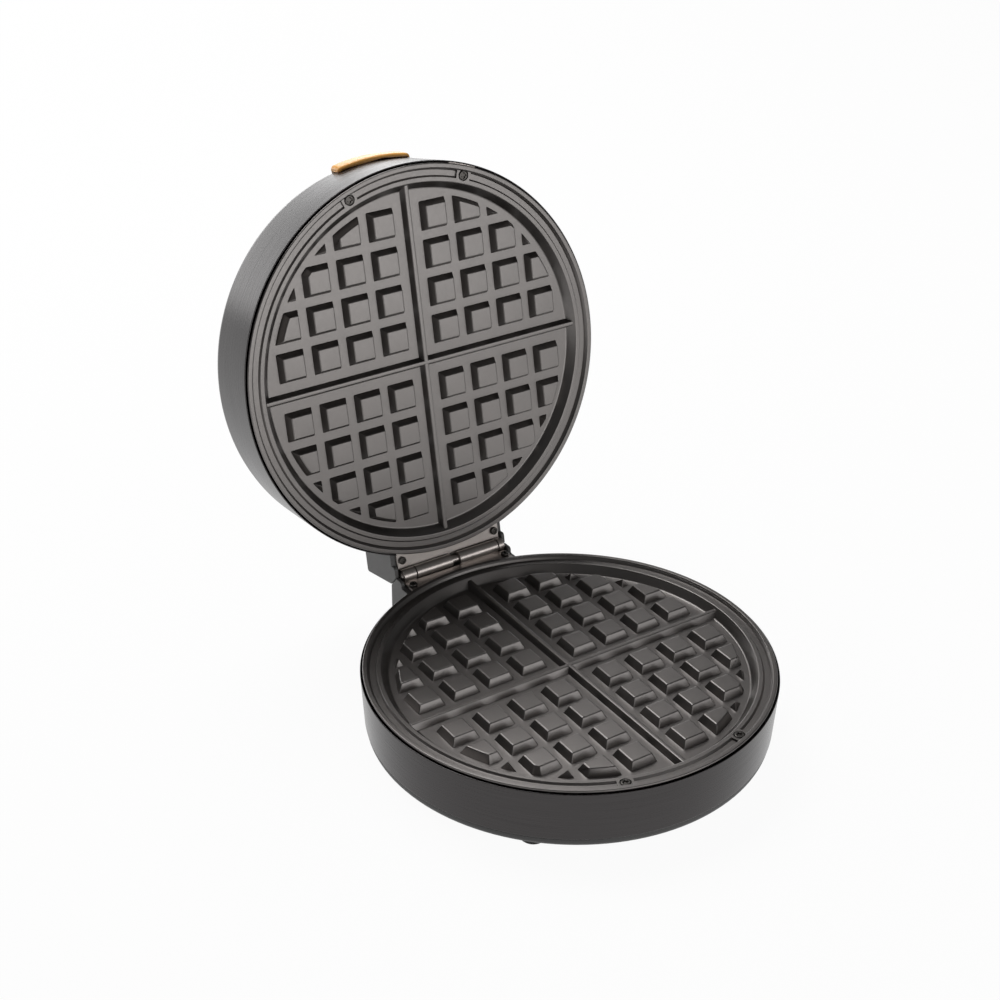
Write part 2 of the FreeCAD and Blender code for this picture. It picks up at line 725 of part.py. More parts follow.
def radial_screws(angle, spread, z, bite, head_r=HEAD_R, head_h=HEAD_H, shank_r=SHANK_R):
    """Screws put in from inside a housing, through its wall."""
    length = HOLE_CLEARANCE + WALL + bite
    return [
        screw(head_r, head_h, shank_r, length, seat, outward)
        for seat, outward in radial_screw_places(angle, spread, z)
    ]


def radial_holes(angle, spread, z, radius, depth):
    """Cylinders for the holes of such screws."""
    return [
        cylinder(radius, depth, seat, outward) for seat, outward in radial_screw_places(angle, spread, z)
    ]


def leaf_notch(rise):
    """Cut in the wall's top edge where the hinge leaf passes over it."""
    floor_z = rise - KNUCKLE_R - LEAF_NOTCH_GAP
    half = LEAF_HALF + LEAF_NOTCH_GAP
    return box_between((-half, 0, floor_z), (half, HINGE_Y, RIM_Z))


def base_housing():
    """Drawn band with an inward lip and four screw tabs at the bottom."""
    low_z = COVER_TOP_Z
    lip_z = low_z + WALL
    band = turned(section((
        (outer_r(WALL_TOP_Z), WALL_TOP_Z),
        (outer_r(low_z), low_z),
        (outer_r(low_z) - HOUSING_LIP, low_z),
        (outer_r(low_z) - HOUSING_LIP, lip_z),
        (inner_r(lip_z), lip_z),
        (inner_r(WALL_TOP_Z), WALL_TOP_Z),
    )))
    tabs = []
    for angle in COVER_SCREW_ANGLES:
        tab = box_between((TAB_R, -TAB_WIDTH / 2, low_z), (inner_r(lip_z) - WALL, TAB_WIDTH / 2, lip_z))
        tab = tab.cut(cylinder(SHANK_R + THREAD_CLEARANCE, WALL, FreeCAD.Vector(COVER_SCREW_R, 0, low_z)))
        tab.rotate(ORIGIN, Z_AXIS, angle)
        tabs.append(tab)
    holes = radial_holes(
        90.0, BLOCK_SCREW_ANGLE, BASE_BLOCK_SCREW_Z, SHANK_R + HOLE_CLEARANCE, HEAD_R + WALL
    )
    cuts = Part.makeCompound(holes + [leaf_notch(HINGE_RISE)])
    return band.multiFuse(tabs).cut(cuts).removeSplitter()


def lens_places():
    """Places of the power and ready lenses on the lid's outside."""
    places = {}
    for name, x in (("power", -LENS_X), ("ready", LENS_X)):
        drop = LID_CROWN * (1 - (x * x + LENS_Y * LENS_Y) / HOUSING_R ** 2)
        places[name] = FreeCAD.Vector(x, LENS_Y, -LID_DEPTH - drop)
    return places


def lid_shell_section(inset):
    """Half section of the lid cup's filled form, drawn in by an inset."""
    corner_z = -LID_DEPTH + LID_CORNER_R
    corner_r = LID_CORNER_R - inset
    centre = FreeCAD.Vector(outer_r(corner_z) - LID_CORNER_R, 0, corner_z)
    side = centre + X_AXIS * corner_r
    slant = math.radians(45)
    middle = centre + FreeCAD.Vector(math.cos(slant), 0, -math.sin(slant)) * corner_r
    low = centre - Z_AXIS * corner_r
    crown = FreeCAD.Vector(0, 0, low.z - LID_CROWN)
    half_way = FreeCAD.Vector(low.x / 2, 0, low.z - LID_CROWN * 0.75)
    top = FreeCAD.Vector(outer_r(WALL_TOP_Z) - inset, 0, WALL_TOP_Z)
    axis_top = FreeCAD.Vector(0, 0, WALL_TOP_Z)
    return Part.Face(Part.Wire([
        Part.LineSegment(axis_top, top).toShape(),
        Part.LineSegment(top, side).toShape(),
        Part.Arc(side, middle, low).toShape(),
        Part.Arc(low, half_way, crown).toShape(),
        Part.LineSegment(crown, axis_top).toShape(),
    ]))


def lid_housing():
    """Drawn cup with a rounded corner and a slightly crowned outside."""
    cup = turned(lid_shell_section(0.0)).cut(turned(lid_shell_section(WALL)))
    cuts = radial_holes(
        90.0, BLOCK_SCREW_ANGLE, LID_BLOCK_SCREW_Z, SHANK_R + HOLE_CLEARANCE, HEAD_R + WALL
    )
    cuts += radial_holes(
        270.0, HANDLE_SCREW_ANGLE, HANDLE_SCREW_Z, HANDLE_SHANK_R + HOLE_CLEARANCE, HEAD_R + WALL
    )
    cuts.append(leaf_notch(LID_RISE))
    for place in lens_places().values():
        cuts.append(cylinder(LENS_STEM_R + LENS_CLEARANCE, 4 * WALL, place - Z_AXIS * WALL))
    return cup.cut(Part.makeCompound(cuts))


def foot_places():
    """Feet by name, on the underside of the bottom cover."""
    return {
        "front_left": on_circle(FRONT_FOOT_R, 270.0 - FRONT_FOOT_ANGLE, COVER_BOTTOM_Z),
        "front_right": on_circle(FRONT_FOOT_R, 270.0 + FRONT_FOOT_ANGLE, COVER_BOTTOM_Z),
        "rear_left": on_circle(REAR_FOOT_R, 90.0 + REAR_FOOT_ANGLE, COVER_BOTTOM_Z),
        "rear_right": on_circle(REAR_FOOT_R, 90.0 - REAR_FOOT_ANGLE, COVER_BOTTOM_Z),
    }


def bottom_cover():
    """Moulded cover under the base, with a rounded edge, screw bosses, vents and foot recesses."""
    round_centre_r = COVER_R - COVER_ROUND
    round_centre_z = COVER_BOTTOM_Z + COVER_ROUND
    rounding = [
        (
            round_centre_r + COVER_ROUND * math.sin(math.radians(angle)),
            round_centre_z - COVER_ROUND * math.cos(math.radians(angle)),
        )
        for angle in range(0, 91, 15)
    ]
    tray = turned(section(
        [(0, COVER_BOTTOM_Z)]
        + rounding
        + [
            (COVER_R, COVER_TOP_Z),
            (COVER_STEP_R, COVER_TOP_Z),
            (COVER_STEP_R, COVER_FLOOR_Z),
            (0, COVER_FLOOR_Z),
        ]
    ))
    bosses = [
        cylinder(COVER_BOSS_R, COVER_TOP_Z - COVER_BOTTOM_Z, on_circle(COVER_SCREW_R, angle, COVER_BOTTOM_Z))
        for angle in COVER_SCREW_ANGLES
    ]
    cuts = []
    for angle in COVER_SCREW_ANGLES:
        foot = on_circle(COVER_SCREW_R, angle, COVER_BOTTOM_Z)
        cuts.append(cylinder(SHANK_R + HOLE_CLEARANCE, COVER_EDGE, foot))
        cuts.append(cylinder(COUNTERBORE_R, HEAD_H, foot))
    for place in foot_places().values():
        cuts.append(cylinder(FOOT_R + HOLE_CLEARANCE, FOOT_RECESS, place))
        cuts.append(cylinder(FOOT_STEM_R, COVER_SHEET, place))
    for row in range(VENT_ROWS):
        for slot in range(VENT_COUNT):
            x = (slot - (VENT_COUNT - 1) / 2) * VENT_PITCH
            y = (row - (VENT_ROWS - 1) / 2) * VENT_ROW_PITCH
            low = (x - VENT_WIDTH / 2, y - VENT_LENGTH / 2, COVER_BOTTOM_Z)
            high = (x + VENT_WIDTH / 2, y + VENT_LENGTH / 2, COVER_FLOOR_Z)
            cuts.append(box_between(low, high))
    return tray.multiFuse(bosses).cut(Part.makeCompound(cuts)).removeSplitter()


def cover_screws():
    """Screws of the bottom cover, sunk in its underside."""
    return [
        screw(
            HEAD_R,
            HEAD_H,
            SHANK_R,
            COVER_EDGE - HEAD_H + 3 * WALL,
            on_circle(COVER_SCREW_R, angle, COVER_BOTTOM_Z + HEAD_H),
            Z_AXIS,
        )
        for angle in COVER_SCREW_ANGLES
    ]


def foot(place):
    """Rubber foot with a barbed stem that snaps through the cover."""
    table_z = -FACE_HEIGHT
    seat_z = COVER_BOTTOM_Z + FOOT_RECESS
    top_z = COVER_FLOOR_Z
    form = turned(section((
        (0, table_z),
        (FOOT_R - FOOT_ROUND, table_z),
        (FOOT_R, table_z + FOOT_ROUND),
        (FOOT_R, seat_z),
        (FOOT_STEM_R, seat_z),
        (FOOT_STEM_R, top_z),
        (FOOT_BARB_R, top_z),
        (FOOT_STEM_R * 0.6, top_z + FOOT_BARB_H),
        (0, top_z + FOOT_BARB_H),
    )))
    form.translate(FreeCAD.Vector(place.x, place.y, 0))
    return form


# Hinge

def knuckle_tube(spans, radius, growth=0.0):
    """Cylinders about the hinge axis over the given spans along x, drawn at z = 0."""
    return [
        cylinder(radius, end - start + 2 * growth, FreeCAD.Vector(start - growth, HINGE_Y, 0), X_AXIS)
        for start, end in spans
    ]


def hinge_leaf(rise, own_spans, other_spans, clearance):
    """Leaf with rolled knuckles; rise is the height of the hinge axis in the half's frame."""
    low_z = -KNUCKLE_R
    strip = box_between((-LEAF_HALF, HOUSING_R / 2, low_z), (LEAF_HALF, HINGE_Y, low_z + LEAF_SHEET))
    leaf = strip.cut(cylinder(RIM_OUT_R + LEAF_RIM_GAP, 4 * KNUCKLE_R, FreeCAD.Vector(0, 0, -2 * KNUCKLE_R)))
    leaf = leaf.multiFuse(knuckle_tube(own_spans, KNUCKLE_R))
    relief = knuckle_tube(other_spans, KNUCKLE_R + KNUCKLE_RELIEF, KNUCKLE_SIDE_GAP)
    relief += knuckle_tube((PIN_WINDOW,), KNUCKLE_R + KNUCKLE_RELIEF)
    bore = knuckle_tube(((-LEAF_HALF, LEAF_HALF),), PIN_R + clearance, KNUCKLE_SIDE_GAP)
    leaf = leaf.cut(Part.makeCompound(relief)).cut(bore[0])
    for side in (-1, 1):
        seat = FreeCAD.Vector(side * LEAF_SCREW_X, LEAF_SCREW_Y, low_z)
        leaf = leaf.cut(cylinder(SHANK_R + HOLE_CLEARANCE, LEAF_SHEET, seat))
    leaf.translate(Z_AXIS * rise)
    return leaf


def leaf_screws(rise):
    """Two screws that hold a leaf on its hinge block."""
    seat_z = rise - KNUCKLE_R + LEAF_SHEET
    return [
        screw(
            LEAF_HEAD_R,
            HEAD_H,
            SHANK_R,
            LEAF_SHEET + LEAF_SCREW_BITE,
            FreeCAD.Vector(side * LEAF_SCREW_X, LEAF_SCREW_Y, seat_z),
            -Z_AXIS,
        )
        for side in (-1, 1)
    ]


def block_profile(rise, depth, ear):
    """Side outline of a hinge block: with an ear at the axis, or cut down for leaf and knuckles."""
    back = HINGE_Y + BLOCK_BACK
    # the stop face lies on a plane just short of the axis, at half the opening angle
    foot_y = HINGE_Y - STOP_CLEARANCE * math.sin(STOP_ANGLE)
    foot_z = rise - STOP_CLEARANCE * math.cos(STOP_ANGLE)
    stop_top_z = rise - EAR_GAP
    stop_top_y = foot_y + (foot_z - stop_top_z) / math.tan(STOP_ANGLE)
    stop_low_z = foot_z - (back - foot_y) * math.tan(STOP_ANGLE)
    seat_z = rise - KNUCKLE_R
    front = HOUSING_R / 2
    points = [(front, rise - depth), (front, seat_z)]
    if ear:
        points += [(HINGE_Y - EAR_FRONT, seat_z), (HINGE_Y - EAR_FRONT, stop_top_z)]
        points += [(stop_top_y, stop_top_z)]
    else:
        points += [(foot_y + (foot_z - seat_z) / math.tan(STOP_ANGLE), seat_z)]
    return points + [(back, stop_low_z), (back, rise - depth)]


def profile_slab(points, start, end):
    """Slab between two planes of x with a (y, z) outline."""
    face = polyline_face([FreeCAD.Vector(start, y, z) for y, z in points])
    return face.extrude(FreeCAD.Vector(end - start, 0, 0))


def wall_solid(clearance):
    """Filled form of the tapered wall, for fitting pieces against its outside."""
    low_z = -LID_DEPTH
    return Part.makeCone(
        outer_r(low_z) + clearance,
        outer_r(KNUCKLE_R) + clearance,
        KNUCKLE_R - low_z,
        FreeCAD.Vector(0, 0, low_z),
    )


def hinge_block(rise, depth, screw_z):
    """Moulded block behind a housing: carries the leaf, hides the pin's ends and stops the lid."""
    core = profile_slab(block_profile(rise, depth, False), -BLOCK_HALF, BLOCK_HALF)
    core = filleted(
        core,
        BLOCK_ROUND,
        lambda edge: edge_runs(edge, "x")
        and abs(edge.CenterOfMass.y - HINGE_Y - BLOCK_BACK) < 1e-6
        and abs(edge.CenterOfMass.z - rise + depth) < 1e-6,
    )
    cheeks = []
    for start in (-BLOCK_HALF, BLOCK_HALF - CHEEK):
        cheek = profile_slab(block_profile(rise, depth / 2, True), start, start + CHEEK)
        cheeks.append(filleted(
            cheek,
            EAR_ROUND,
            lambda edge: edge_runs(edge, "x")
            and abs(edge.CenterOfMass.y - HINGE_Y + EAR_FRONT) < 1e-6
            and abs(edge.CenterOfMass.z - rise + EAR_GAP) < 1e-6,
        ))
    block = core.multiFuse(cheeks)
    inside = BLOCK_HALF - CHEEK
    pocket = cylinder(
        KNUCKLE_R + BLOCK_POCKET_GAP, 2 * inside, FreeCAD.Vector(-inside, HINGE_Y, rise), X_AXIS
    )
    cuts = [pocket, wall_solid(BLOCK_FIT)]
    for side in (-1, 1):
        seat = FreeCAD.Vector(side * LEAF_SCREW_X, LEAF_SCREW_Y, rise - KNUCKLE_R)
        cuts.append(cylinder(SHANK_R + THREAD_CLEARANCE, LEAF_SCREW_BITE + HOLE_CLEARANCE, seat, -Z_AXIS))
    cuts += radial_holes(
        90.0,
        BLOCK_SCREW_ANGLE,
        screw_z,
        SHANK_R + THREAD_CLEARANCE,
        2 * HOLE_CLEARANCE + WALL + BLOCK_SCREW_BITE,
    )
    return block.cut(Part.makeCompound(cuts)).removeSplitter()


def base_hinge_block():
    """Base hinge block with the seat of the cord grommet in its back."""
    block = hinge_block(HINGE_RISE, BASE_BLOCK_DEPTH, BASE_BLOCK_SCREW_Z)
    mouth = FreeCAD.Vector(0, HINGE_Y + BLOCK_BACK, GROMMET_Z)
    return block.cut(cylinder(GROMMET_R, GROMMET_DEPTH, mouth, FreeCAD.Vector(0, -1, 0)))


def hinge_pin():
    """Plain pin with chamfered ends, held in the base leaf's knuckles."""
    pin = cylinder(PIN_R, PIN_LENGTH, FreeCAD.Vector(-PIN_LENGTH / 2, HINGE_Y, HINGE_RISE), X_AXIS)
    return pin.makeChamfer(PIN_CHAMFER, [edge for edge in pin.Edges if edge.Closed])


def cord_grommet():
    """Blind grommet where the supply cord would enter."""
    profile = (
        (0, -GROMMET_DEPTH),
        (GROMMET_R, -GROMMET_DEPTH),
        (GROMMET_R, 0),
        (GROMMET_FLANGE_R, 0),
        (GROMMET_FLANGE_R, GROMMET_FLANGE),
        (GROMMET_NOSE_R, GROMMET_FLANGE + GROMMET_NOSE),
        (0, GROMMET_FLANGE + GROMMET_NOSE),
    )
    grommet = turned(section(profile))
    grommet.Placement = FreeCAD.Placement(
        FreeCAD.Vector(0, HINGE_Y + BLOCK_BACK, GROMMET_Z),
        FreeCAD.Rotation(Z_AXIS, FreeCAD.Vector(0, 1, 0)),
    )
    return grommet


# Handle and lights

def lid_handle():
    """Lip handle that wraps the rounded corner of the lid's front."""
    lip = turned(section((
        (HANDLE_R - HANDLE_DEPTH, HANDLE_FAR_Z),
        (HANDLE_R, HANDLE_FAR_Z),
        (HANDLE_R, HANDLE_NEAR_Z),
        (HANDLE_R - HANDLE_DEPTH, HANDLE_NEAR_Z),
    )), 2 * HANDLE_SPAN, 270.0 - HANDLE_SPAN)
    outside = HANDLE_R - HANDLE_CORNER_R
    lip = filleted(
        lip,
        HANDLE_CORNER_R,
        lambda edge: edge_runs(edge, "z") and math.hypot(edge.CenterOfMass.x, edge.CenterOfMass.y) > outside,
    )
    # the rounding runs on from the long arcs round the corners
    lip = filleted(
        lip,
        HANDLE_EDGE_R,
        lambda edge: edge.Length > HANDLE_R * math.radians(HANDLE_SPAN)
        and edge.CenterOfMass.y < -outside
        and edge.BoundBox.ZLength < 1e-6,
    )
    cuts = [turned(lid_shell_section(-BLOCK_FIT))]
    cuts += radial_holes(
        270.0,
        HANDLE_SCREW_ANGLE,
        HANDLE_SCREW_Z,
        HANDLE_SHANK_R + THREAD_CLEARANCE,
        2 * HOLE_CLEARANCE + WALL + HANDLE_SCREW_BITE,
    )
    return lip.cut(Part.makeCompound(cuts))


def lens(place):
    """Domed lens whose stem goes through the lid."""
    form = turned(section((
        (0, -LENS_RISE),
        (LENS_R * 0.55, -LENS_RISE * 0.8),
        (LENS_R * 0.9, -LENS_RISE * 0.35),
        (LENS_R, 0),
        (LENS_STEM_R, 0),
        (LENS_STEM_R, LENS_STEM),
        (0, LENS_STEM),
    )))
    form.translate(place - Z_AXIS * LENS_CLEARANCE)
    return form


def lamp(place):
    """Neon lamp in its sleeve, pushed against the lens stem."""
    start = place + Z_AXIS * (LENS_STEM - LENS_CLEARANCE)
    body = cylinder(LAMP_R, LAMP_LENGTH, start)
    far_z = start.z + LAMP_LENGTH
    return filleted(body, LAMP_TIP_R, lambda edge: edge.Closed and abs(edge.CenterOfMass.z - far_z) < 1e-6)


# Assembly

def to_base(shape):
    """Moves a half's solid to its place in the base."""
    moved = shape.copy()
    moved.translate(FreeCAD.Vector(0, -BOX_MIDDLE_Y, FACE_HEIGHT))
    return moved


def to_lid(shape):
    """Turns a half's solid over onto the base and swings it open on the hinge."""
    moved = shape.mirror(ORIGIN, Z_AXIS)
    moved.translate(FreeCAD.Vector(0, -BOX_MIDDLE_Y, LID_FACE_HEIGHT))
    moved.rotate(FreeCAD.Vector(0, HINGE_Y - BOX_MIDDLE_Y, HINGE_HEIGHT), X_AXIS, -OPEN_ANGLE)
    return moved


def save(name, shapes, place):
    """Writes one node; a list becomes a group of separate solids."""
    group = shapes if isinstance(shapes, list) else [shapes]
    solids = [solid for shape in group for solid in place(shape).Solids]
    shape = solids[0] if len(solids) == 1 else Part.makeCompound(solids)
    shape.exportStep("parts/" + name + ".step")
    print(name, len(solids), "solids, volume", round(shape.Volume), "mm3")


def main():
    """Builds every node of both halves."""
    os.makedirs("parts", exist_ok=True)

    plate = waffle_plate()
    shared = {
        "plate": plate,
        "plate_screws": plate_screws(),
        "plate_brackets": plate_brackets(),
        "element": element(),
        "element_clamps": element_clamps(),
        "clamp_screws": clamp_screws(),
        "reflector": reflector(),
    }
    for name, shapes in shared.items():
        save("lower_" + name, shapes, to_base)
        save("upper_" + name, shapes, to_lid)

    save("base_housing", base_housing(), to_base)
    save("bottom_cover", bottom_cover(), to_base)
    save("bottom_cover_screws", cover_screws(), to_base)
    for name, place in foot_places().items():
        save("foot_" + name, foot(place), to_base)
    save("thermostat", thermostat(), to_base)
    save("thermal_fuse", thermal_fuse(), to_base)
    save("fuse_clip", fuse_clip(), to_base)
    save("terminal_block", terminal_block(), to_base)
    save("base_hinge_block", base_hinge_block(), to_base)
    save(
        "base_block_screws",
        radial_screws(90.0, BLOCK_SCREW_ANGLE, BASE_BLOCK_SCREW_Z, BLOCK_SCREW_BITE),
        to_base,
    )
    save(
        "base_hinge_leaf",
        hinge_leaf(HINGE_RISE, BASE_KNUCKLES, LID_KNUCKLES, PIN_SEAT_CLEARANCE),
        to_base,
    )
    save("base_leaf_screws", leaf_screws(HINGE_RISE), to_base)
    save("hinge_pin", hinge_pin(), to_base)
    save("cord_grommet", cord_grommet(), to_base)

    save("lid_housing", lid_housing(), to_lid)
    save("lid_hinge_block", hinge_block(LID_RISE, LID_BLOCK_DEPTH, LID_BLOCK_SCREW_Z), to_lid)
    save(
        "lid_block_screws",
        radial_screws(90.0, BLOCK_SCREW_ANGLE, LID_BLOCK_SCREW_Z, BLOCK_SCREW_BITE),
        to_lid,
    )
    save(
        "lid_hinge_leaf",
        hinge_leaf(LID_RISE, LID_KNUCKLES, BASE_KNUCKLES, PIN_RUN_CLEARANCE),
        to_lid,
    )
    save("lid_leaf_screws", leaf_screws(LID_RISE), to_lid)
    save("lid_handle", lid_handle(), to_lid)
    save(
        "handle_screws",
        radial_screws(
            270.0,
            HANDLE_SCREW_ANGLE,
            HANDLE_SCREW_Z,
            HANDLE_SCREW_BITE,
            HANDLE_HEAD_R,
            HANDLE_HEAD_H,
            HANDLE_SHANK_R,
        ),
        to_lid,
    )
    for name, place in lens_places().items():
        save(name + "_lens", lens(place), to_lid)
        save(name + "_lamp", lamp(place), to_lid)


main()
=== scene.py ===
"""Dressed scene of a round waffle maker with its lid open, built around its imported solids."""
import logging
import math
from dataclasses import dataclass
from enum import Enum

import bmesh
import bpy
from mathutils import Matrix, Vector


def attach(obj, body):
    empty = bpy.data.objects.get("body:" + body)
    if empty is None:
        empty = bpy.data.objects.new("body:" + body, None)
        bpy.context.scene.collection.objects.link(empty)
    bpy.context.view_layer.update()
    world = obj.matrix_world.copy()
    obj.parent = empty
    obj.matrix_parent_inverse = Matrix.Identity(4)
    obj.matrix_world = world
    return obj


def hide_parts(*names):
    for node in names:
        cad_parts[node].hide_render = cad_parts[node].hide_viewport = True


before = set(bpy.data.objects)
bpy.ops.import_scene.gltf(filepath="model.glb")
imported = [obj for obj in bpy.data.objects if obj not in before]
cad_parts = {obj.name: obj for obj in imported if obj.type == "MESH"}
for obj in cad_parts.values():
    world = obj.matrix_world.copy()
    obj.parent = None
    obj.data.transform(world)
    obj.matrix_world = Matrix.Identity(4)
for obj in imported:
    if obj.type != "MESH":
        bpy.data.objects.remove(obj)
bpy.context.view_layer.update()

LOG = logging.getLogger("waffle_maker")
MM = 0.001
MERGE_MM = 1e-3  # points of a drawn form that are nearer than this are one point
CARVE_MERGE_MM = MERGE_MM / 10.0
CUT_MM = 1e-5  # points nearer than this to a cutting plane lie on it
CAD_MERGE = 2e-6  # points of a CAD mesh, in metres, that are nearer than this are one point
CAD_FLAT_ANGLE = math.radians(0.6)  # triangles of a CAD mesh that meet flatter than this are one face
CAD_SHARP_DEGREES = 32.0  # edges of a CAD mesh that are sharper than this are rounded
SMOOTH_ANGLE = math.radians(38.0)
SCREW_EDGE_MM = 0.12
CORNER_FACETS = 5  # across a rounded corner of a turned section
EDGE_FACETS = 3  # across a wide rounded edge
HOLE_FACETS = 40  # round a drilled hole
FRONT = 270.0  # direction of a half's front, in degrees; its hinge is at 90
BRUSH_MAP = "brush"
NOISE_LOW, NOISE_HIGH = 0.3, 0.7  # most values of a noise texture lie between these
MIX_SHARE, MIX_FIRST, MIX_SECOND, MIX_COLOUR = 0, 6, 7, 2  # sockets of a colour mix node, by number
WHITE = (1.0, 1.0, 1.0, 1.0)


# Places of the two halves

class Half(Enum):
    """The two halves, each drawn in its own plate frame: z = 0 on the stud tops, -z into the half."""

    BASE = "base"
    LID = "lid"

    @property
    def prefix(self) -> str:
        """First word of the names of the half's plate and heating nodes."""
        return "lower" if self is Half.BASE else "upper"

    @property
    def matrix(self) -> Matrix:
        """Places a shape drawn in millimetres in this half's frame into the part's frame.

        Returns:
            The matrix, in metres, of the part as it stands with its lid open.
        """
        box_middle_y = 43.75
        face_height = 35.0
        face_gap = 3.1
        hinge = Vector((0.0, 64.75, 37.27))
        open_angle = math.radians(101.4)
        shrink = Matrix.Diagonal((MM, MM, MM, 1.0))
        if self is Half.BASE:
            return shrink @ Matrix.Translation((0.0, -box_middle_y, face_height))
        turned_over = Matrix.Diagonal((1.0, 1.0, -1.0, 1.0))
        closed = Matrix.Translation((0.0, -box_middle_y, face_height + face_gap)) @ turned_over
        turn = Matrix.Rotation(-open_angle, 4, "X")
        swing = Matrix.Translation(hinge) @ turn @ Matrix.Translation(-hinge)
        return shrink @ swing @ closed


# Finishes

def linear(colour: str) -> tuple[float, float, float, float]:
    """Turns an sRGB hex colour into the linear values that shaders take.

    Args:
        colour: the colour, such as "#8F8B88".

    Returns:
        Red, green, blue and an alpha of one.
    """
    parts = [int(colour[i:i + 2], 16) / 255.0 for i in (1, 3, 5)]
    red, green, blue = [p / 12.92 if p <= 0.04045 else ((p + 0.055) / 1.055) ** 2.4 for p in parts]
    return red, green, blue, 1.0


def add_node(tree: bpy.types.NodeTree, kind: str, settings: dict | None = None,
             inputs: dict | None = None) -> bpy.types.Node:
    """Adds a shader node.

    Args:
        tree: the material's or world's node tree.
        kind: the node's type name.
        settings: attributes of the node, by name.
        inputs: values or output sockets for its inputs, by name or number.

    Returns:
        The new node.
    """
    node = tree.nodes.new(kind)
    for name, value in (settings or {}).items():
        setattr(node, name, value)
    for key, value in (inputs or {}).items():
        if isinstance(value, bpy.types.NodeSocket):
            tree.links.new(value, node.inputs[key])
        else:
            node.inputs[key].default_value = value
    return node


def new_material(name: str) -> tuple[bpy.types.Material, bpy.types.NodeTree]:
    """Makes an empty node material.

    Args:
        name: the material's name.

    Returns:
        The material and its empty node tree.
    """
    material = bpy.data.materials.new(name)
    material.use_nodes = True
    material.node_tree.nodes.clear()
    return material, material.node_tree


def per_metre(size_mm: float) -> float:
    """Texture scale that gives features of a size in millimetres."""
    return 1.0 / (size_mm * MM)


@dataclass(frozen=True)
class Finish:
    """What all finishes share: a name, two colours that a texture mixes, and one material."""

    name: str
    colour: str
    shade: str

    def surface(self, tree: bpy.types.NodeTree) -> dict:
        """Adds the textures; each kind of finish has its own.

        Args:
            tree: the material's node tree.

        Returns:
            Values and sockets for the surface shader's inputs, by name.
        """
        raise NotImplementedError

    def material(self) -> bpy.types.Material:
        """Builds the node material once.

        Returns:
            The finish's material.
        """
        if self.name in bpy.data.materials:
            return bpy.data.materials[self.name]
        material, tree = new_material(self.name)
        shader = add_node(tree, "ShaderNodeBsdfPrincipled", None, self.surface(tree))
        add_node(tree, "ShaderNodeOutputMaterial", None, {"Surface": shader.outputs["BSDF"]})
        return material


@dataclass(frozen=True)
class GrainFinish(Finish):
    """A surface with slightly uneven colour and a fine grain, both given in real sizes."""

    roughness: tuple[float, float]
    mottle_mm: float
    grain_mm: float
    grain_depth_mm: float
    metallic: float = 0.0
    ior: float = 1.5
    coat: float = 0.0
    coat_roughness: float = 0.1

    def surface(self, tree: bpy.types.NodeTree) -> dict:
        """Adds the uneven colour and the grain.

        Args:
            tree: the material's node tree.

        Returns:
            Values and sockets for the surface shader's inputs, by name.
        """
        place = add_node(tree, "ShaderNodeTexCoord").outputs["Object"]
        mottle = add_node(tree, "ShaderNodeTexNoise", None, {
            "Vector": place, "Scale": per_metre(self.mottle_mm), "Detail": 3.0, "Roughness": 0.6})
        grain = add_node(tree, "ShaderNodeTexNoise", None, {
            "Vector": place, "Scale": per_metre(self.grain_mm), "Detail": 2.0, "Roughness": 0.55})
        tint = add_node(tree, "ShaderNodeMix", {"data_type": "RGBA"}, {
            MIX_SHARE: mottle.outputs["Fac"], MIX_FIRST: linear(self.colour),
            MIX_SECOND: linear(self.shade)})
        low, high = self.roughness
        rough = add_node(tree, "ShaderNodeMapRange", None, {
            "Value": grain.outputs["Fac"], "From Min": NOISE_LOW, "From Max": NOISE_HIGH,
            "To Min": low, "To Max": high})
        bump = add_node(tree, "ShaderNodeBump", None, {
            "Height": grain.outputs["Fac"], "Distance": self.grain_depth_mm * MM, "Strength": 1.0})
        inputs = {
            "Base Color": tint.outputs[MIX_COLOUR], "Roughness": rough.outputs["Result"],
            "Normal": bump.outputs["Normal"], "Metallic": self.metallic,
            "Coat Weight": self.coat, "Coat Roughness": self.coat_roughness}
        if self.metallic == 0.0:
            inputs["IOR"] = self.ior
        return inputs


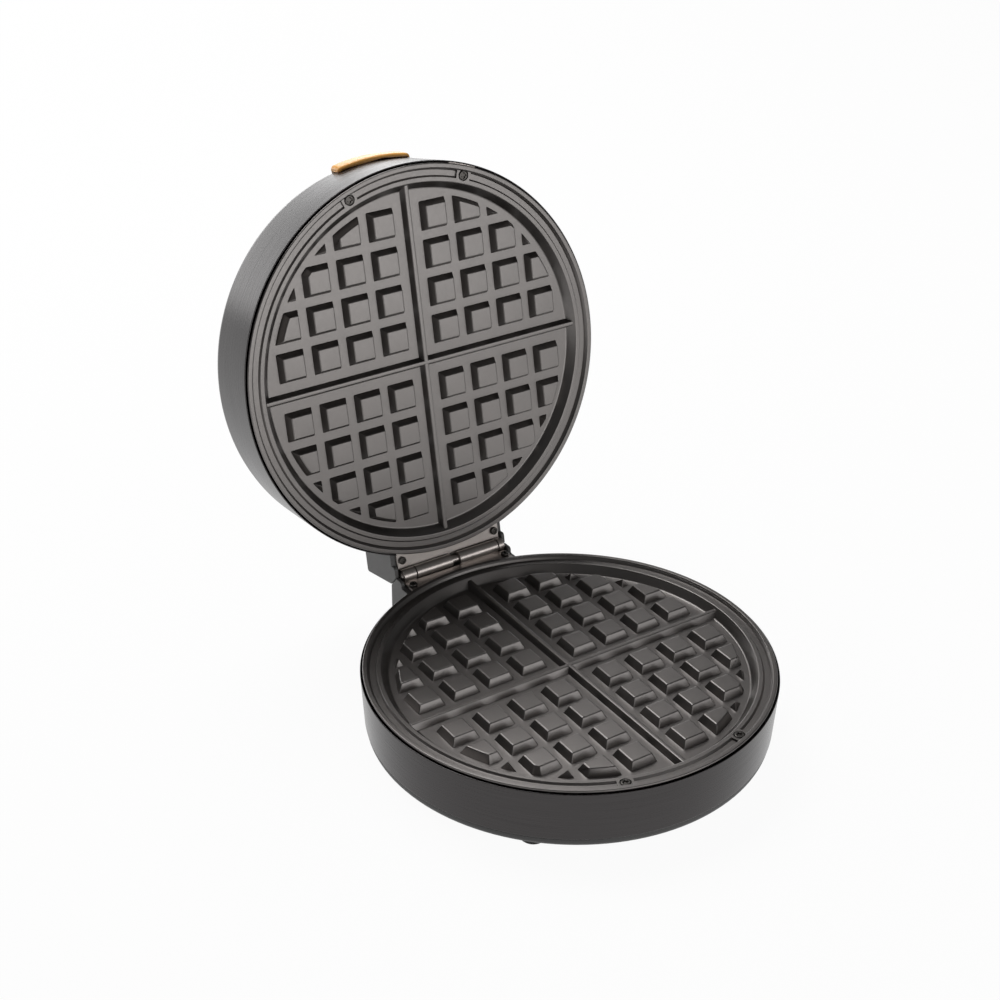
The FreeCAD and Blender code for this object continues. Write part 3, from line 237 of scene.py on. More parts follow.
@dataclass(frozen=True)
class BrushedFinish(Finish):
    """Metal with hairlines along one direction, drawn on the piece's own map."""

    roughness: tuple[float, float]
    line_mm: float
    line_length_mm: float
    line_depth_mm: float
    spread: float

    def surface(self, tree: bpy.types.NodeTree) -> dict:
        """Adds the hairlines and the direction that they run in.

        Args:
            tree: the material's node tree.

        Returns:
            Values and sockets for the surface shader's inputs, by name.
        """
        place = add_node(tree, "ShaderNodeUVMap", {"uv_map": BRUSH_MAP}).outputs["UV"]
        stretch = add_node(tree, "ShaderNodeMapping", None, {
            "Vector": place, "Scale": (per_metre(self.line_mm), per_metre(self.line_length_mm), 1.0)})
        lines = add_node(tree, "ShaderNodeTexNoise", {"noise_dimensions": "2D"}, {
            "Vector": stretch.outputs["Vector"], "Scale": 1.0, "Detail": 4.0, "Roughness": 0.65})
        tint = add_node(tree, "ShaderNodeMix", {"data_type": "RGBA"}, {
            MIX_SHARE: lines.outputs["Fac"], MIX_FIRST: linear(self.colour),
            MIX_SECOND: linear(self.shade)})
        low, high = self.roughness
        rough = add_node(tree, "ShaderNodeMapRange", None, {
            "Value": lines.outputs["Fac"], "From Min": NOISE_LOW, "From Max": NOISE_HIGH,
            "To Min": low, "To Max": high})
        bump = add_node(tree, "ShaderNodeBump", None, {
            "Height": lines.outputs["Fac"], "Distance": self.line_depth_mm * MM, "Strength": 1.0})
        along = add_node(tree, "ShaderNodeTangent", {"direction_type": "UV_MAP", "uv_map": BRUSH_MAP})
        return {
            "Base Color": tint.outputs[MIX_COLOUR], "Metallic": 1.0,
            "Roughness": rough.outputs["Result"], "Normal": bump.outputs["Normal"],
            "Anisotropic": self.spread, "Tangent": along.outputs["Tangent"]}


@dataclass(frozen=True)
class LensFinish(Finish):
    """Tinted clear plastic with a faint moulded waviness."""

    wave_mm: float
    wave_depth_mm: float = 0.05
    wave_strength: float = 0.6
    clear: float = 0.55
    roughness: float = 0.12
    ior: float = 1.49

    def surface(self, tree: bpy.types.NodeTree) -> dict:
        """Adds the waviness.

        Args:
            tree: the material's node tree.

        Returns:
            Values and sockets for the surface shader's inputs, by name.
        """
        place = add_node(tree, "ShaderNodeTexCoord").outputs["Object"]
        wave = add_node(tree, "ShaderNodeTexNoise", None, {
            "Vector": place, "Scale": per_metre(self.wave_mm), "Detail": 1.0})
        tint = add_node(tree, "ShaderNodeMix", {"data_type": "RGBA"}, {
            MIX_SHARE: wave.outputs["Fac"], MIX_FIRST: linear(self.colour),
            MIX_SECOND: linear(self.shade)})
        bump = add_node(tree, "ShaderNodeBump", None, {
            "Height": wave.outputs["Fac"], "Distance": self.wave_depth_mm * MM,
            "Strength": self.wave_strength})
        return {
            "Base Color": tint.outputs[MIX_COLOUR], "Roughness": self.roughness, "IOR": self.ior,
            "Transmission Weight": self.clear, "Normal": bump.outputs["Normal"]}


# Black-coated stainless steel, hairline brushed round the drum: dark, with highlights that spread
# across the lines. Real hairlines are about 0.1 mm wide, too fine to show, so they are drawn at 0.5 mm.
BLACK_STEEL = BrushedFinish(
    "black_coated_hairline_steel", "#4A4848", "#3F3D3D", (0.21, 0.29), 0.5, 60.0, 0.003, 0.6)
# Cast aluminium under a grey-black non-stick coat: satin, with the soft orange peel of a sprayed coat.
NON_STICK = GrainFinish(
    "non_stick_coated_cast_aluminium", "#74706E", "#6B6866", (0.34, 0.41), 16.0, 1.2, 0.002,
    metallic=1.0, coat=0.3, coat_roughness=0.14)
# Zinc-plated steel, pressed and rolled: bright satin with a faint cloudiness.
ZINC_STEEL = GrainFinish(
    "zinc_plated_steel", "#B8B1AC", "#ACA5A1", (0.32, 0.40), 9.0, 0.6, 0.002, metallic=1.0)
# Blackened steel screws: dark, slightly glossy from the oil of the blacking.
BLACK_SCREW = GrainFinish(
    "blackened_screw_steel", "#5A5754", "#403E3C", (0.28, 0.40), 1.5, 0.3, 0.006, metallic=1.0)
# Glass-filled polyamide, moulded with a fine spark-eroded texture: grey-black and matt.
BLOCK_PLASTIC = GrainFinish(
    "glass_filled_polyamide", "#575655", "#4E4D4C", (0.40, 0.52), 9.0, 0.45, 0.012, ior=1.53)
# Moulded phenolic of the bottom cover and the terminal block: black, low gloss.
COVER_PLASTIC = GrainFinish(
    "moulded_phenolic", "#232221", "#1B1A1A", (0.40, 0.52), 12.0, 0.6, 0.02, ior=1.6)
# Silicone rubber feet and grommet: matt black, a little dusty.
RUBBER = GrainFinish(
    "silicone_rubber", "#262524", "#302F2D", (0.62, 0.75), 4.0, 0.35, 0.015, ior=1.43)
# Glossy ABS handle, moulded in colour: warm orange with a smooth polished skin.
ORANGE_ABS = GrainFinish(
    "orange_abs", "#FFBE66", "#FDB65A", (0.24, 0.32), 16.0, 1.2, 0.002, ior=1.53)
# Sheathed heating tube: nickel-iron oxidised to a dull olive brown.
ELEMENT_SHEATH = GrainFinish(
    "oxidised_element_sheath", "#6E6A5C", "#4F4B42", (0.42, 0.58), 6.0, 0.4, 0.02, metallic=0.9)
# Aluminised sheet of the reflector pans: pale spangled grey.
ALUMINISED = GrainFinish(
    "aluminised_sheet", "#C3C2BE", "#A9A8A4", (0.26, 0.42), 7.0, 1.0, 0.006, metallic=1.0)
# Steatite ceramic of the thermostat: chalky cream.
CERAMIC = GrainFinish(
    "steatite_ceramic", "#E6DFCF", "#D8D0BD", (0.45, 0.60), 5.0, 0.4, 0.015, ior=1.6)
# Woven glass sleeve on the thermal fuse: off-white, with a thread about 0.4 mm wide.
GLASS_SLEEVE = GrainFinish(
    "glass_fibre_sleeve", "#E9E6DC", "#CFCBBE", (0.70, 0.85), 2.0, 0.4, 0.06, ior=1.5)
# Small neon lamps in a frosted sleeve: pale and softly glossy.
LAMP_GLASS = GrainFinish(
    "frosted_lamp_sleeve", "#EDE4D6", "#DDD0BE", (0.35, 0.50), 3.0, 0.3, 0.008, ior=1.5)
# Moulded polycarbonate lenses: deep clear colour, a little hazy.
RED_LENS = LensFinish("red_polycarbonate_lens", "#C81E16", "#8E100C", 2.5)
GREEN_LENS = LensFinish("green_polycarbonate_lens", "#2FA24A", "#176A2C", 2.5)


# Mesh work

def add_wire(bm: bmesh.types.BMesh, points: list[tuple[float, float]],
             rounds: dict[int, float], closed: bool) -> None:
    """Draws a half section in the plane y = 0 and rounds some of its corners.

    Args:
        bm: an empty bmesh.
        points: (radius, z) pairs in millimetres.
        rounds: corner radius by the point's place in the list.
        closed: whether the last point joins the first.
    """
    verts = [bm.verts.new((radius, 0.0, z)) for radius, z in points]
    pairs = list(zip(verts, verts[1:])) + ([(verts[-1], verts[0])] if closed else [])
    for first, second in pairs:
        bm.edges.new((first, second))
    for index, radius in rounds.items():
        before = Vector((*points[index - 1], 0.0)) - Vector((*points[index], 0.0))
        after = Vector((*points[(index + 1) % len(points)], 0.0)) - Vector((*points[index], 0.0))
        reach = radius / math.tan(before.angle(after) / 2.0)
        bmesh.ops.bevel(
            bm, geom=[verts[index]], offset=reach, offset_type="OFFSET", segments=CORNER_FACETS,
            profile=0.5, affect="VERTICES", material=-1, clamp_overlap=False)


def close_up(bm: bmesh.types.BMesh) -> None:
    """Merges doubles and turns all faces outwards."""
    bmesh.ops.remove_doubles(bm, verts=bm.verts, dist=MERGE_MM)
    bmesh.ops.recalc_face_normals(bm, faces=bm.faces)


def turned(points: list[tuple[float, float]], rounds: dict[int, float], closed: bool,
           steps: int) -> bmesh.types.BMesh:
    """Full turn of a half section about the plate's axis.

    Args:
        points: (radius, z) pairs in millimetres.
        rounds: corner radius by point.
        closed: whether the section is closed in itself, or by the axis.
        steps: facets round the turn.

    Returns:
        The closed form.
    """
    bm = bmesh.new()
    add_wire(bm, points, rounds, closed)
    bmesh.ops.spin(
        bm, geom=bm.verts[:] + bm.edges[:], cent=(0, 0, 0), axis=(0, 0, 1),
        angle=math.tau, steps=steps, use_merge=True)
    close_up(bm)
    return bm


def turned_part(points: list[tuple[float, float]], start: float, span: float,
                steps: int) -> bmesh.types.BMesh:
    """Solid from part of a turn.

    Args:
        points: (radius, z) pairs of a closed section.
        start: first direction in degrees.
        span: angle in degrees.
        steps: facets along the turn.

    Returns:
        The closed form.
    """
    bm = bmesh.new()
    bm.faces.new([bm.verts.new((radius, 0.0, z)) for radius, z in points])
    bmesh.ops.rotate(
        bm, verts=bm.verts, cent=(0, 0, 0), matrix=Matrix.Rotation(math.radians(start), 3, "Z"))
    bmesh.ops.spin(
        bm, geom=bm.verts[:] + bm.edges[:] + bm.faces[:], cent=(0, 0, 0), axis=(0, 0, 1),
        angle=math.radians(span), steps=steps)
    close_up(bm)
    return bm


def join(into: bmesh.types.BMesh, other: bmesh.types.BMesh) -> None:
    """Adds another form to a form.

    Args:
        into: the form that grows.
        other: the form to add; it is freed.
    """
    mesh = bpy.data.meshes.new("joined")
    other.to_mesh(mesh)
    other.free()
    into.from_mesh(mesh)
    bpy.data.meshes.remove(mesh)


def carved(form: bmesh.types.BMesh, cutter: bmesh.types.BMesh) -> bmesh.types.BMesh:
    """Cuts one closed form out of another.

    Args:
        form: the form that keeps its outside; it is freed.
        cutter: the form to take away; it is freed.

    Returns:
        The cut form.
    """
    objects = []
    for bm in (form, cutter):
        mesh = bpy.data.meshes.new("carving")
        bm.to_mesh(mesh)
        bm.free()
        objects.append(bpy.data.objects.new("carving", mesh))
        bpy.context.scene.collection.objects.link(objects[-1])
    modifier = objects[0].modifiers.new("cut", "BOOLEAN")
    modifier.operation = "DIFFERENCE"
    modifier.solver = "EXACT"
    modifier.object = objects[1]
    graph = bpy.context.evaluated_depsgraph_get()
    result = bmesh.new()
    result.from_object(objects[0], graph)
    for helper in objects:
        mesh = helper.data
        bpy.data.objects.remove(helper)
        bpy.data.meshes.remove(mesh)
    bmesh.ops.remove_doubles(result, verts=result.verts, dist=CARVE_MERGE_MM)
    bmesh.ops.dissolve_degenerate(result, edges=result.edges, dist=CARVE_MERGE_MM)
    return result


def drill(cutter: bmesh.types.BMesh, radius: float, depth: float,
          middle: tuple[float, float, float]) -> None:
    """Adds the form of a drilled hole to a cutter.

    Args:
        cutter: the forms to cut out.
        radius: the hole's radius.
        depth: its length along z.
        middle: its middle.
    """
    bmesh.ops.create_cone(
        cutter, cap_ends=True, segments=HOLE_FACETS, radius1=radius, radius2=radius, depth=depth,
        matrix=Matrix.Translation(middle))


def sharp_edges(bm: bmesh.types.BMesh, degrees: float) -> list[bmesh.types.BMEdge]:
    """Edges where two faces meet at more than an angle."""
    limit = math.radians(degrees)
    return [edge for edge in bm.edges if edge.is_manifold and edge.calc_face_angle(0.0) > limit]


def ease(bm: bmesh.types.BMesh, edges: list[bmesh.types.BMEdge], offset: float, segments: int) -> None:
    """Rounds edges of a form.

    Args:
        bm: the form.
        edges: the edges to round.
        offset: width of the rounding, in the form's own units.
        segments: facets across the rounding.
    """
    bmesh.ops.bevel(
        bm, geom=edges, offset=offset, offset_type="OFFSET", segments=segments, profile=0.5,
        affect="EDGES", material=-1, clamp_overlap=False, miter_outer="ARC")


def softened(node: str, edge_mm: float, segments: int) -> bmesh.types.BMesh:
    """Copy of a CAD node's mesh with its loose triangles merged and its sharp edges rounded.

    Args:
        node: the node's name.
        edge_mm: width of the rounding.
        segments: facets across the rounding.

    Returns:
        The copy, in metres.
    """
    bm = bmesh.new()
    bm.from_mesh(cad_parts[node].data)
    bmesh.ops.remove_doubles(bm, verts=bm.verts, dist=CAD_MERGE)
    bmesh.ops.dissolve_limit(
        bm, angle_limit=CAD_FLAT_ANGLE, verts=bm.verts, edges=bm.edges, use_dissolve_boundaries=False)
    ease(bm, sharp_edges(bm, CAD_SHARP_DEGREES), edge_mm * MM, segments)
    bmesh.ops.remove_doubles(bm, verts=bm.verts, dist=CAD_MERGE)
    return bm


def settle(bm: bmesh.types.BMesh, half: Half) -> bmesh.types.BMesh:
    """Moves a form drawn in a half's frame to its place in the part.

    Args:
        bm: the form, in millimetres.
        half: the half that it belongs to.

    Returns:
        The same form, in metres.
    """
    bm.transform(half.matrix)
    if half.matrix.determinant() < 0.0:
        bmesh.ops.reverse_faces(bm, faces=bm.faces)
    return bm


def add_brush_map(bm: bmesh.types.BMesh, radius: float) -> None:
    """Maps a turned form for brush lines: across the lines first, then along them, in metres.

    Args:
        bm: the form in its half's frame, in millimetres.
        radius: radius of the drum, where the map runs at its real length.
    """
    layer = bm.loops.layers.uv.new(BRUSH_MAP)
    for face in bm.faces:
        middle = face.calc_center_median()
        front = math.atan2(middle.x, -middle.y)
        for loop in face.loops:
            place = loop.vert.co
            turn = front
            if place.xy.length > MERGE_MM:
                turn = math.atan2(place.x, -place.y)
                turn += math.tau * round((front - turn) / math.tau)
            across = (radius - place.xy.length) - place.z
            loop[layer].uv = (across * MM, turn * radius * MM)


def show(name: str, bm: bmesh.types.BMesh, finish: Finish, body: Half, node: str) -> None:
    """Makes a piece of a form, dresses it and lets it stand for its CAD node.

    Args:
        name: the piece's name.
        bm: the form in place, in metres; it is freed.
        finish: its finish.
        body: the body that it moves with.
        node: the CAD node that it stands for.
    """
    mesh = bpy.data.meshes.new(name)
    bm.to_mesh(mesh)
    bm.free()
    mesh.shade_smooth()
    mesh.set_sharp_from_angle(angle=SMOOTH_ANGLE)
    mesh.materials.append(finish.material())
    piece = bpy.data.objects.new(name, mesh)
    bpy.context.scene.collection.objects.link(piece)
    modifier = piece.modifiers.new("even_shading", "WEIGHTED_NORMAL")
    modifier.keep_sharp = True
    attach(piece, body.value)
    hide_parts(node)
    LOG.info("%s: %d faces, on %s", name, len(mesh.polygons), body.value)


def show_softened(name: str, node: str, edge_mm: float, finish: Finish, body: Half,
                  segments: int = 2) -> None:
    """Shows a softened copy of a CAD node in its place.

    Args:
        name: the piece's name.
        node: the CAD node that it copies and stands for.
        edge_mm: width of the rounding of its edges.
        finish: its finish.
        body: the body that it moves with.
        segments: facets across the rounding.
    """
    show(name, softened(node, edge_mm, segments), finish, body, node)


def dress_node(node: str, finish: Finish) -> None:
    """Gives a CAD node that stays as it is its finish.

    Args:
        node: the node's name.
        finish: its finish.
    """
    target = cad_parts[node]
    target.data.materials.clear()
    target.data.materials.append(finish.material())
    LOG.info("%s: kept, %s", node, finish.name)


# Sub-assemblies

@dataclass
class WafflePlate:
    """Cast plate with tapered studs, dividing ridges and a drip groove; millimetres and degrees."""

    half: Half
    pitch: float = 19.5
    first: float = 7.6
    base: float = 15.0
    top: float = 11.2
    height: float = 4.2
    per_side: int = 4
    stud_edge: float = 0.55
    stud_root: float = 0.6
    stud_corner: float = 20.0
    limit_r: float = 85.0
    limit_step: float = 2.5
    limit_reach: float = 24.0
    limit_merge: float = 0.02
    ridge_top: float = 2.2
    ridge_base: float = 5.0
    ridge_drop: float = 0.9
    ridge_step: float = 0.03
    ridge_edge: float = 0.5
    ridge_inset: float = 0.4
    floor_r: float = 88.3
    floor_round: float = 1.2
    land_in_r: float = 91.7
    land_round: float = 0.6
    land_z: float = 0.2
    groove_in_r: float = 94.0
    groove_out_r: float = 97.9
    groove_depth: float = 1.0
    groove_slope: float = 0.6
    groove_flare: float = 0.25
    rim_in_r: float = 98.6
    rim_out_r: float = 100.8
    rim_z: float = 1.1
    rim_edge: float = 1.2
    rim_foot_round: float = 0.3
    rim_in_round: float = 0.35
    rim_out_round: float = 0.55
    rim_under_round: float = 0.3
    skirt_r: float = 99.4
    flange_under_z: float = -2.6
    pan_top_r: float = 92.4
    pan_bottom_r: float = 89.3
    pan_round: float = 1.0
    under_z: float = -7.2
    screw_r: float = 95.8
    screw_angle: float = 19.9
    pad_half: float = 4.0
    counterbore_r: float = 2.9
    counterbore_depth: float = 1.2
    over_cut: float = 0.5
    dish_facets: int = 240
    short_groove_facets: int = 24
    long_groove_facets: int = 220

    def dish(self) -> bmesh.types.BMesh:
        """Turned body with the drip groove and the screw recesses cut out.

        Returns:
            The closed form.
        """
        rim_under_z = self.rim_z - self.rim_edge
        form = turned(
            [
                (0.0, -self.height), (self.floor_r, -self.height), (self.land_in_r, self.land_z),
                (self.groove_out_r, self.land_z), (self.rim_in_r, self.rim_z),
                (self.rim_out_r, self.rim_z), (self.rim_out_r, rim_under_z),
                (self.skirt_r, rim_under_z), (self.skirt_r, self.flange_under_z),
                (self.pan_top_r, self.flange_under_z), (self.pan_bottom_r, self.under_z),
                (0.0, self.under_z),
            ],
            {
                1: self.floor_round, 2: self.land_round, 3: self.rim_foot_round, 4: self.rim_in_round,
                5: self.rim_out_round, 6: self.rim_under_round, 10: self.pan_round,
            },
            False, self.dish_facets)
        return carved(form, self.cuts())

    def cuts(self) -> bmesh.types.BMesh:
        """Ring groove, stopped at the two screws, and the recesses of the screw heads.

        Returns:
            The closed forms to cut out.
        """
        inner, outer = self.groove_in_r, self.groove_out_r
        low = self.land_z - self.groove_depth
        high = self.land_z + self.groove_flare
        section = [
            (inner - 2.0 * self.groove_flare, high), (inner, self.land_z - self.groove_flare),
            (inner + self.groove_slope, low), (outer - self.groove_slope, low),
            (outer, self.land_z), (outer, high),
        ]
        pad = math.degrees(self.pad_half / self.screw_r)
        short = 2.0 * (self.screw_angle - pad)
        long = 360.0 - 2.0 * (self.screw_angle + pad)
        cutter = turned_part(section, FRONT - short / 2.0, short, self.short_groove_facets)
        join(cutter, turned_part(
            section, FRONT + self.screw_angle + pad, long, self.long_groove_facets))
        depth = self.counterbore_depth + self.rim_z - self.land_z + self.over_cut
        middle_z = self.land_z - self.counterbore_depth + depth / 2.0
        for side in (-1, 1):
            angle = math.radians(FRONT + side * self.screw_angle)
            drill(cutter, self.counterbore_r, depth,
                  (self.screw_r * math.cos(angle), self.screw_r * math.sin(angle), middle_z))
        return cutter

    def stud(self, x: float, y: float) -> bmesh.types.BMesh | None:
        """One tapered stud; at the plate's edge it is cut to the round outline.

        Args:
            x: place of its middle.
            y: place of its middle.

        Returns:
            The closed form, or nothing where the outline leaves no stud.
        """
        taper = (self.base - self.top) / 2.0 / self.height
        root_half = self.base / 2.0 + taper * self.stud_root
        depth = self.height + self.stud_root
        upright = Matrix.Rotation(math.radians(45.0), 4, "Z")
        bm = bmesh.new()
        bmesh.ops.create_cone(
            bm, cap_ends=True, segments=4, radius1=root_half * math.sqrt(2.0),
            radius2=self.top / 2.0 * math.sqrt(2.0), depth=depth,
            matrix=Matrix.Translation((x, y, -depth / 2.0)) @ upright)
        if math.hypot(abs(x) + root_half, abs(y) + root_half) > self.limit_r:
            middle = math.degrees(math.atan2(y, x))
            steps = round(self.limit_reach / self.limit_step)
            for step in range(-steps, steps + 1):
                angle = math.radians(middle + step * self.limit_step)
                outward = Vector((math.cos(angle), math.sin(angle), 0.0))
                cut = bmesh.ops.bisect_plane(
                    bm, geom=bm.verts[:] + bm.edges[:] + bm.faces[:], dist=CUT_MM,
                    plane_co=outward * self.limit_r - Vector((0.0, 0.0, self.height)),
                    plane_no=outward + Vector((0.0, 0.0, taper)), clear_outer=True)
                rim = [part for part in cut["geom_cut"] if isinstance(part, bmesh.types.BMEdge)]
                if rim:
                    bmesh.ops.holes_fill(bm, edges=rim, sides=0)
            bmesh.ops.remove_doubles(bm, verts=bm.verts, dist=self.limit_merge)
            tops = [vert.co.z for vert in bm.verts]
            if not tops or max(tops) < -self.height / 2.0:
                bm.free()
                return None
        rounded = [edge for edge in sharp_edges(bm, self.stud_corner)
                   if max(vert.co.z for vert in edge.verts) > -self.height]
        ease(bm, rounded, self.stud_edge, EDGE_FACETS)
        bmesh.ops.recalc_face_normals(bm, faces=bm.faces)
        return bm

    def ridge(self, degrees: float, drop: float) -> bmesh.types.BMesh:
        """Dividing ridge across the plate with sloping, softly rounded sides.

        Args:
            degrees: its direction.
            drop: how far its top lies under the stud tops.

        Returns:
            The closed form.
        """
        slope = (self.ridge_base - self.ridge_top) / 2.0 / (self.height - self.ridge_drop)
        depth = self.height - drop + self.stud_root
        length = self.land_in_r - self.ridge_inset
        above = (self.ridge_top / 2.0, -drop)
        below = (self.ridge_base / 2.0 + slope * self.stud_root, -drop - depth)
        bm = bmesh.new()
        bmesh.ops.create_cube(bm, size=2.0)
        for vert in bm.verts:
            half_width, z = above if vert.co.z > 0.0 else below
            vert.co = (vert.co.x * length, vert.co.y * half_width, z)
        along = [edge for edge in bm.edges if all(vert.co.z > -drop - MERGE_MM for vert in edge.verts)]
        ease(bm, along, self.ridge_edge, EDGE_FACETS)
        bmesh.ops.rotate(
            bm, verts=bm.verts, cent=(0, 0, 0), matrix=Matrix.Rotation(math.radians(degrees), 3, "Z"))
        bmesh.ops.recalc_face_normals(bm, faces=bm.faces)
        return bm

    def build(self) -> bmesh.types.BMesh:
        """Puts the dish, the ridges and all studs together.

        The second ridge is a hair lower than the first, so that their tops don't share a plane.

        Returns:
            The plate, in its half's frame.
        """
        plate = self.dish()
        join(plate, self.ridge(0.0, self.ridge_drop))
        join(plate, self.ridge(90.0, self.ridge_drop + self.ridge_step))
        middle = self.first + self.base / 2.0
        places = [
            sign * (middle + step * self.pitch) for step in range(self.per_side) for sign in (-1, 1)]
        for x in places:
            for y in places:
                stud = self.stud(x, y)
                if stud:
                    join(plate, stud)
        return plate

    def dress(self) -> None:
        """Shows the plate with its non-stick coat, and its two screws."""
        name = self.half.prefix + "_plate"
        show(name + "_casting", settle(self.build(), self.half), NON_STICK, self.half,
             name)
        show_softened(name + "_screw_pair", name + "_screws", SCREW_EDGE_MM, BLACK_SCREW, self.half)


@dataclass
class Housing:
    """Drawn drum of one half with a rolled rim and hairline brushing; sizes in millimetres."""

    half: Half
    radius: float = 102.0
    wall: float = 0.6
    slope: float = 0.059
    top_z: float = -0.4
    rim_round: float = 0.28
    base_low_z: float = -27.3
    base_round: float = 0.9
    lip: float = 4.2
    lip_round: float = 0.5
    lid_depth: float = 41.0
    lid_corner: float = 7.0
    lid_crown: float = 1.5
    crown_third: float = 0.89
    crown_two_thirds: float = 0.56
    crown_round: float = 90.0
    facets: int = 288
    notch_half: float = 31.3
    notch_reach: float = 40.0
    notch_height: float = 10.0
    base_notch_z: float = -1.33
    lid_notch_z: float = -2.77
    lens_x: float = 9.0
    lens_y: float = -48.0
    lens_hole_r: float = 3.3
    lens_hole_depth: float = 8.0

    def outer(self, z: float) -> float:
        """Radius of the wall's outside at a height."""
        return self.radius - self.slope * (self.top_z - z)

    def band(self) -> bmesh.types.BMesh:
        """Base band with an inward lip at the bottom.

        Returns:
            The closed form.
        """
        low, rim_r = self.base_low_z, self.outer(self.top_z)
        lip_r = self.outer(low) - self.lip
        return turned(
            [
                (rim_r, self.top_z), (self.outer(low), low), (lip_r, low), (lip_r, low + self.wall),
                (self.outer(low) - self.wall, low + self.wall), (rim_r - self.wall, self.top_z),
            ],
            {0: self.rim_round, 1: self.base_round, 4: self.lip_round, 5: self.rim_round},
            True, self.facets)

    def cup(self) -> bmesh.types.BMesh:
        """Lid cup with a rounded corner and a slightly crowned outside.

        Returns:
            The closed form.
        """
        outside_z = -self.lid_depth
        inside_z = outside_z + self.wall
        side_r, rim_r = self.outer(outside_z), self.outer(self.top_z)
        return turned(
            [
                (0.0, outside_z - self.lid_crown),
                (side_r / 3.0, outside_z - self.lid_crown * self.crown_third),
                (side_r * 2.0 / 3.0, outside_z - self.lid_crown * self.crown_two_thirds),
                (side_r, outside_z), (rim_r, self.top_z), (rim_r - self.wall, self.top_z),
                (side_r - self.wall, inside_z), (0.0, inside_z - self.lid_crown),
            ],
            {
                1: self.crown_round, 2: self.crown_round, 3: self.lid_corner, 4: self.rim_round,
                5: self.rim_round, 6: self.lid_corner - self.wall,
            },
            False, self.facets)

    def openings(self) -> bmesh.types.BMesh:
        """Notch of the hinge leaf and, in the lid, the holes of the two lenses.

        Returns:
            The closed forms to cut out.
        """
        notch_z = self.base_notch_z if self.half is Half.BASE else self.lid_notch_z
        cutter = bmesh.new()
        bmesh.ops.create_cube(cutter, size=1.0)
        bmesh.ops.scale(
            cutter, vec=(2.0 * self.notch_half, self.notch_reach, self.notch_height),
            verts=cutter.verts)
        bmesh.ops.translate(
            cutter, vec=(0.0, self.radius, notch_z + self.notch_height / 2.0), verts=cutter.verts)
        if self.half is Half.LID:
            for side in (-1, 1):
                drill(cutter, self.lens_hole_r, self.lens_hole_depth,
                      (side * self.lens_x, self.lens_y, -self.lid_depth))
        return cutter

    def build(self) -> bmesh.types.BMesh:
        """Makes the drum, cuts its openings and maps its brush lines.

        Returns:
            The drum, in its half's frame.
        """
        drum = self.band() if self.half is Half.BASE else self.cup()
        drum = carved(drum, self.openings())
        add_brush_map(drum, self.radius)
        return drum

    def dress(self) -> None:
        """Shows the drum in black hairline steel."""
        name = self.half.value + "_housing"
        show(name + "_drum", settle(self.build(), self.half), BLACK_STEEL, self.half,
             name)


@dataclass
class HingeSet:
    """Leaves with rolled knuckles, the pin, the two moulded blocks and the grommet; millimetres."""

    leaf_edge: float = 0.22
    block_edge: float = 0.45
    pin_edge: float = 0.1
    grommet_edge: float = 0.4

    def dress(self) -> None:
        """Shows softened copies of the hinge's solids."""
        for half in Half:
            name = half.value
            show_softened(name + "_leaf_rolled", name + "_hinge_leaf", self.leaf_edge, ZINC_STEEL,
                          half)
            show_softened(name + "_leaf_screw_pair", name + "_leaf_screws", SCREW_EDGE_MM, BLACK_SCREW,
                          half)
            show_softened(name + "_block_moulded", name + "_hinge_block", self.block_edge,
                          BLOCK_PLASTIC, half)
        show_softened("hinge_pin_turned", "hinge_pin", self.pin_edge, ZINC_STEEL, Half.BASE)
        show_softened("cord_grommet_moulded", "cord_grommet", self.grommet_edge, RUBBER, Half.BASE,
                      EDGE_FACETS)


@dataclass
class Underside:
    """Bottom cover with its vents, its screws and the four feet; edge sizes in millimetres."""

    cover_edge: float = 0.3
    foot_edge: float = 0.4

    def dress(self) -> None:
        """Shows softened copies of the underside's solids."""
        show_softened("bottom_cover_moulded", "bottom_cover", self.cover_edge, COVER_PLASTIC,
                      Half.BASE)
        show_softened("bottom_cover_screw_set", "bottom_cover_screws", SCREW_EDGE_MM, BLACK_SCREW,
                      Half.BASE)
        for place in ("front_left", "front_right", "rear_left", "rear_right"):
            show_softened("rubber_foot_" + place, "foot_" + place, self.foot_edge, RUBBER, Half.BASE,
                          EDGE_FACETS)


@dataclass
class LidFront:
    """Lip handle and the two pilot lenses on the lid; edge sizes in millimetres."""

    handle_edge: float = 0.6
    lens_edge: float = 0.25
    lens_lift: float = 0.12

    def dress(self) -> None:
        """Shows softened copies of the handle and of the lenses, which stand just clear of the lid."""
        show_softened("lid_handle_lip", "lid_handle", self.handle_edge, ORANGE_ABS, Half.LID,
                      EDGE_FACETS)
        outward = Half.LID.matrix.to_3x3() @ Vector((0.0, 0.0, -self.lens_lift))
        for name, finish, slot in (("power", RED_LENS, "red_lens"), ("ready", GREEN_LENS, "green_lens")):
            lens = softened(name + "_lens", self.lens_edge, EDGE_FACETS)
            bmesh.ops.translate(lens, vec=outward, verts=lens.verts)
            show(name + "_lens_domed", lens, finish, Half.LID, name + "_lens")


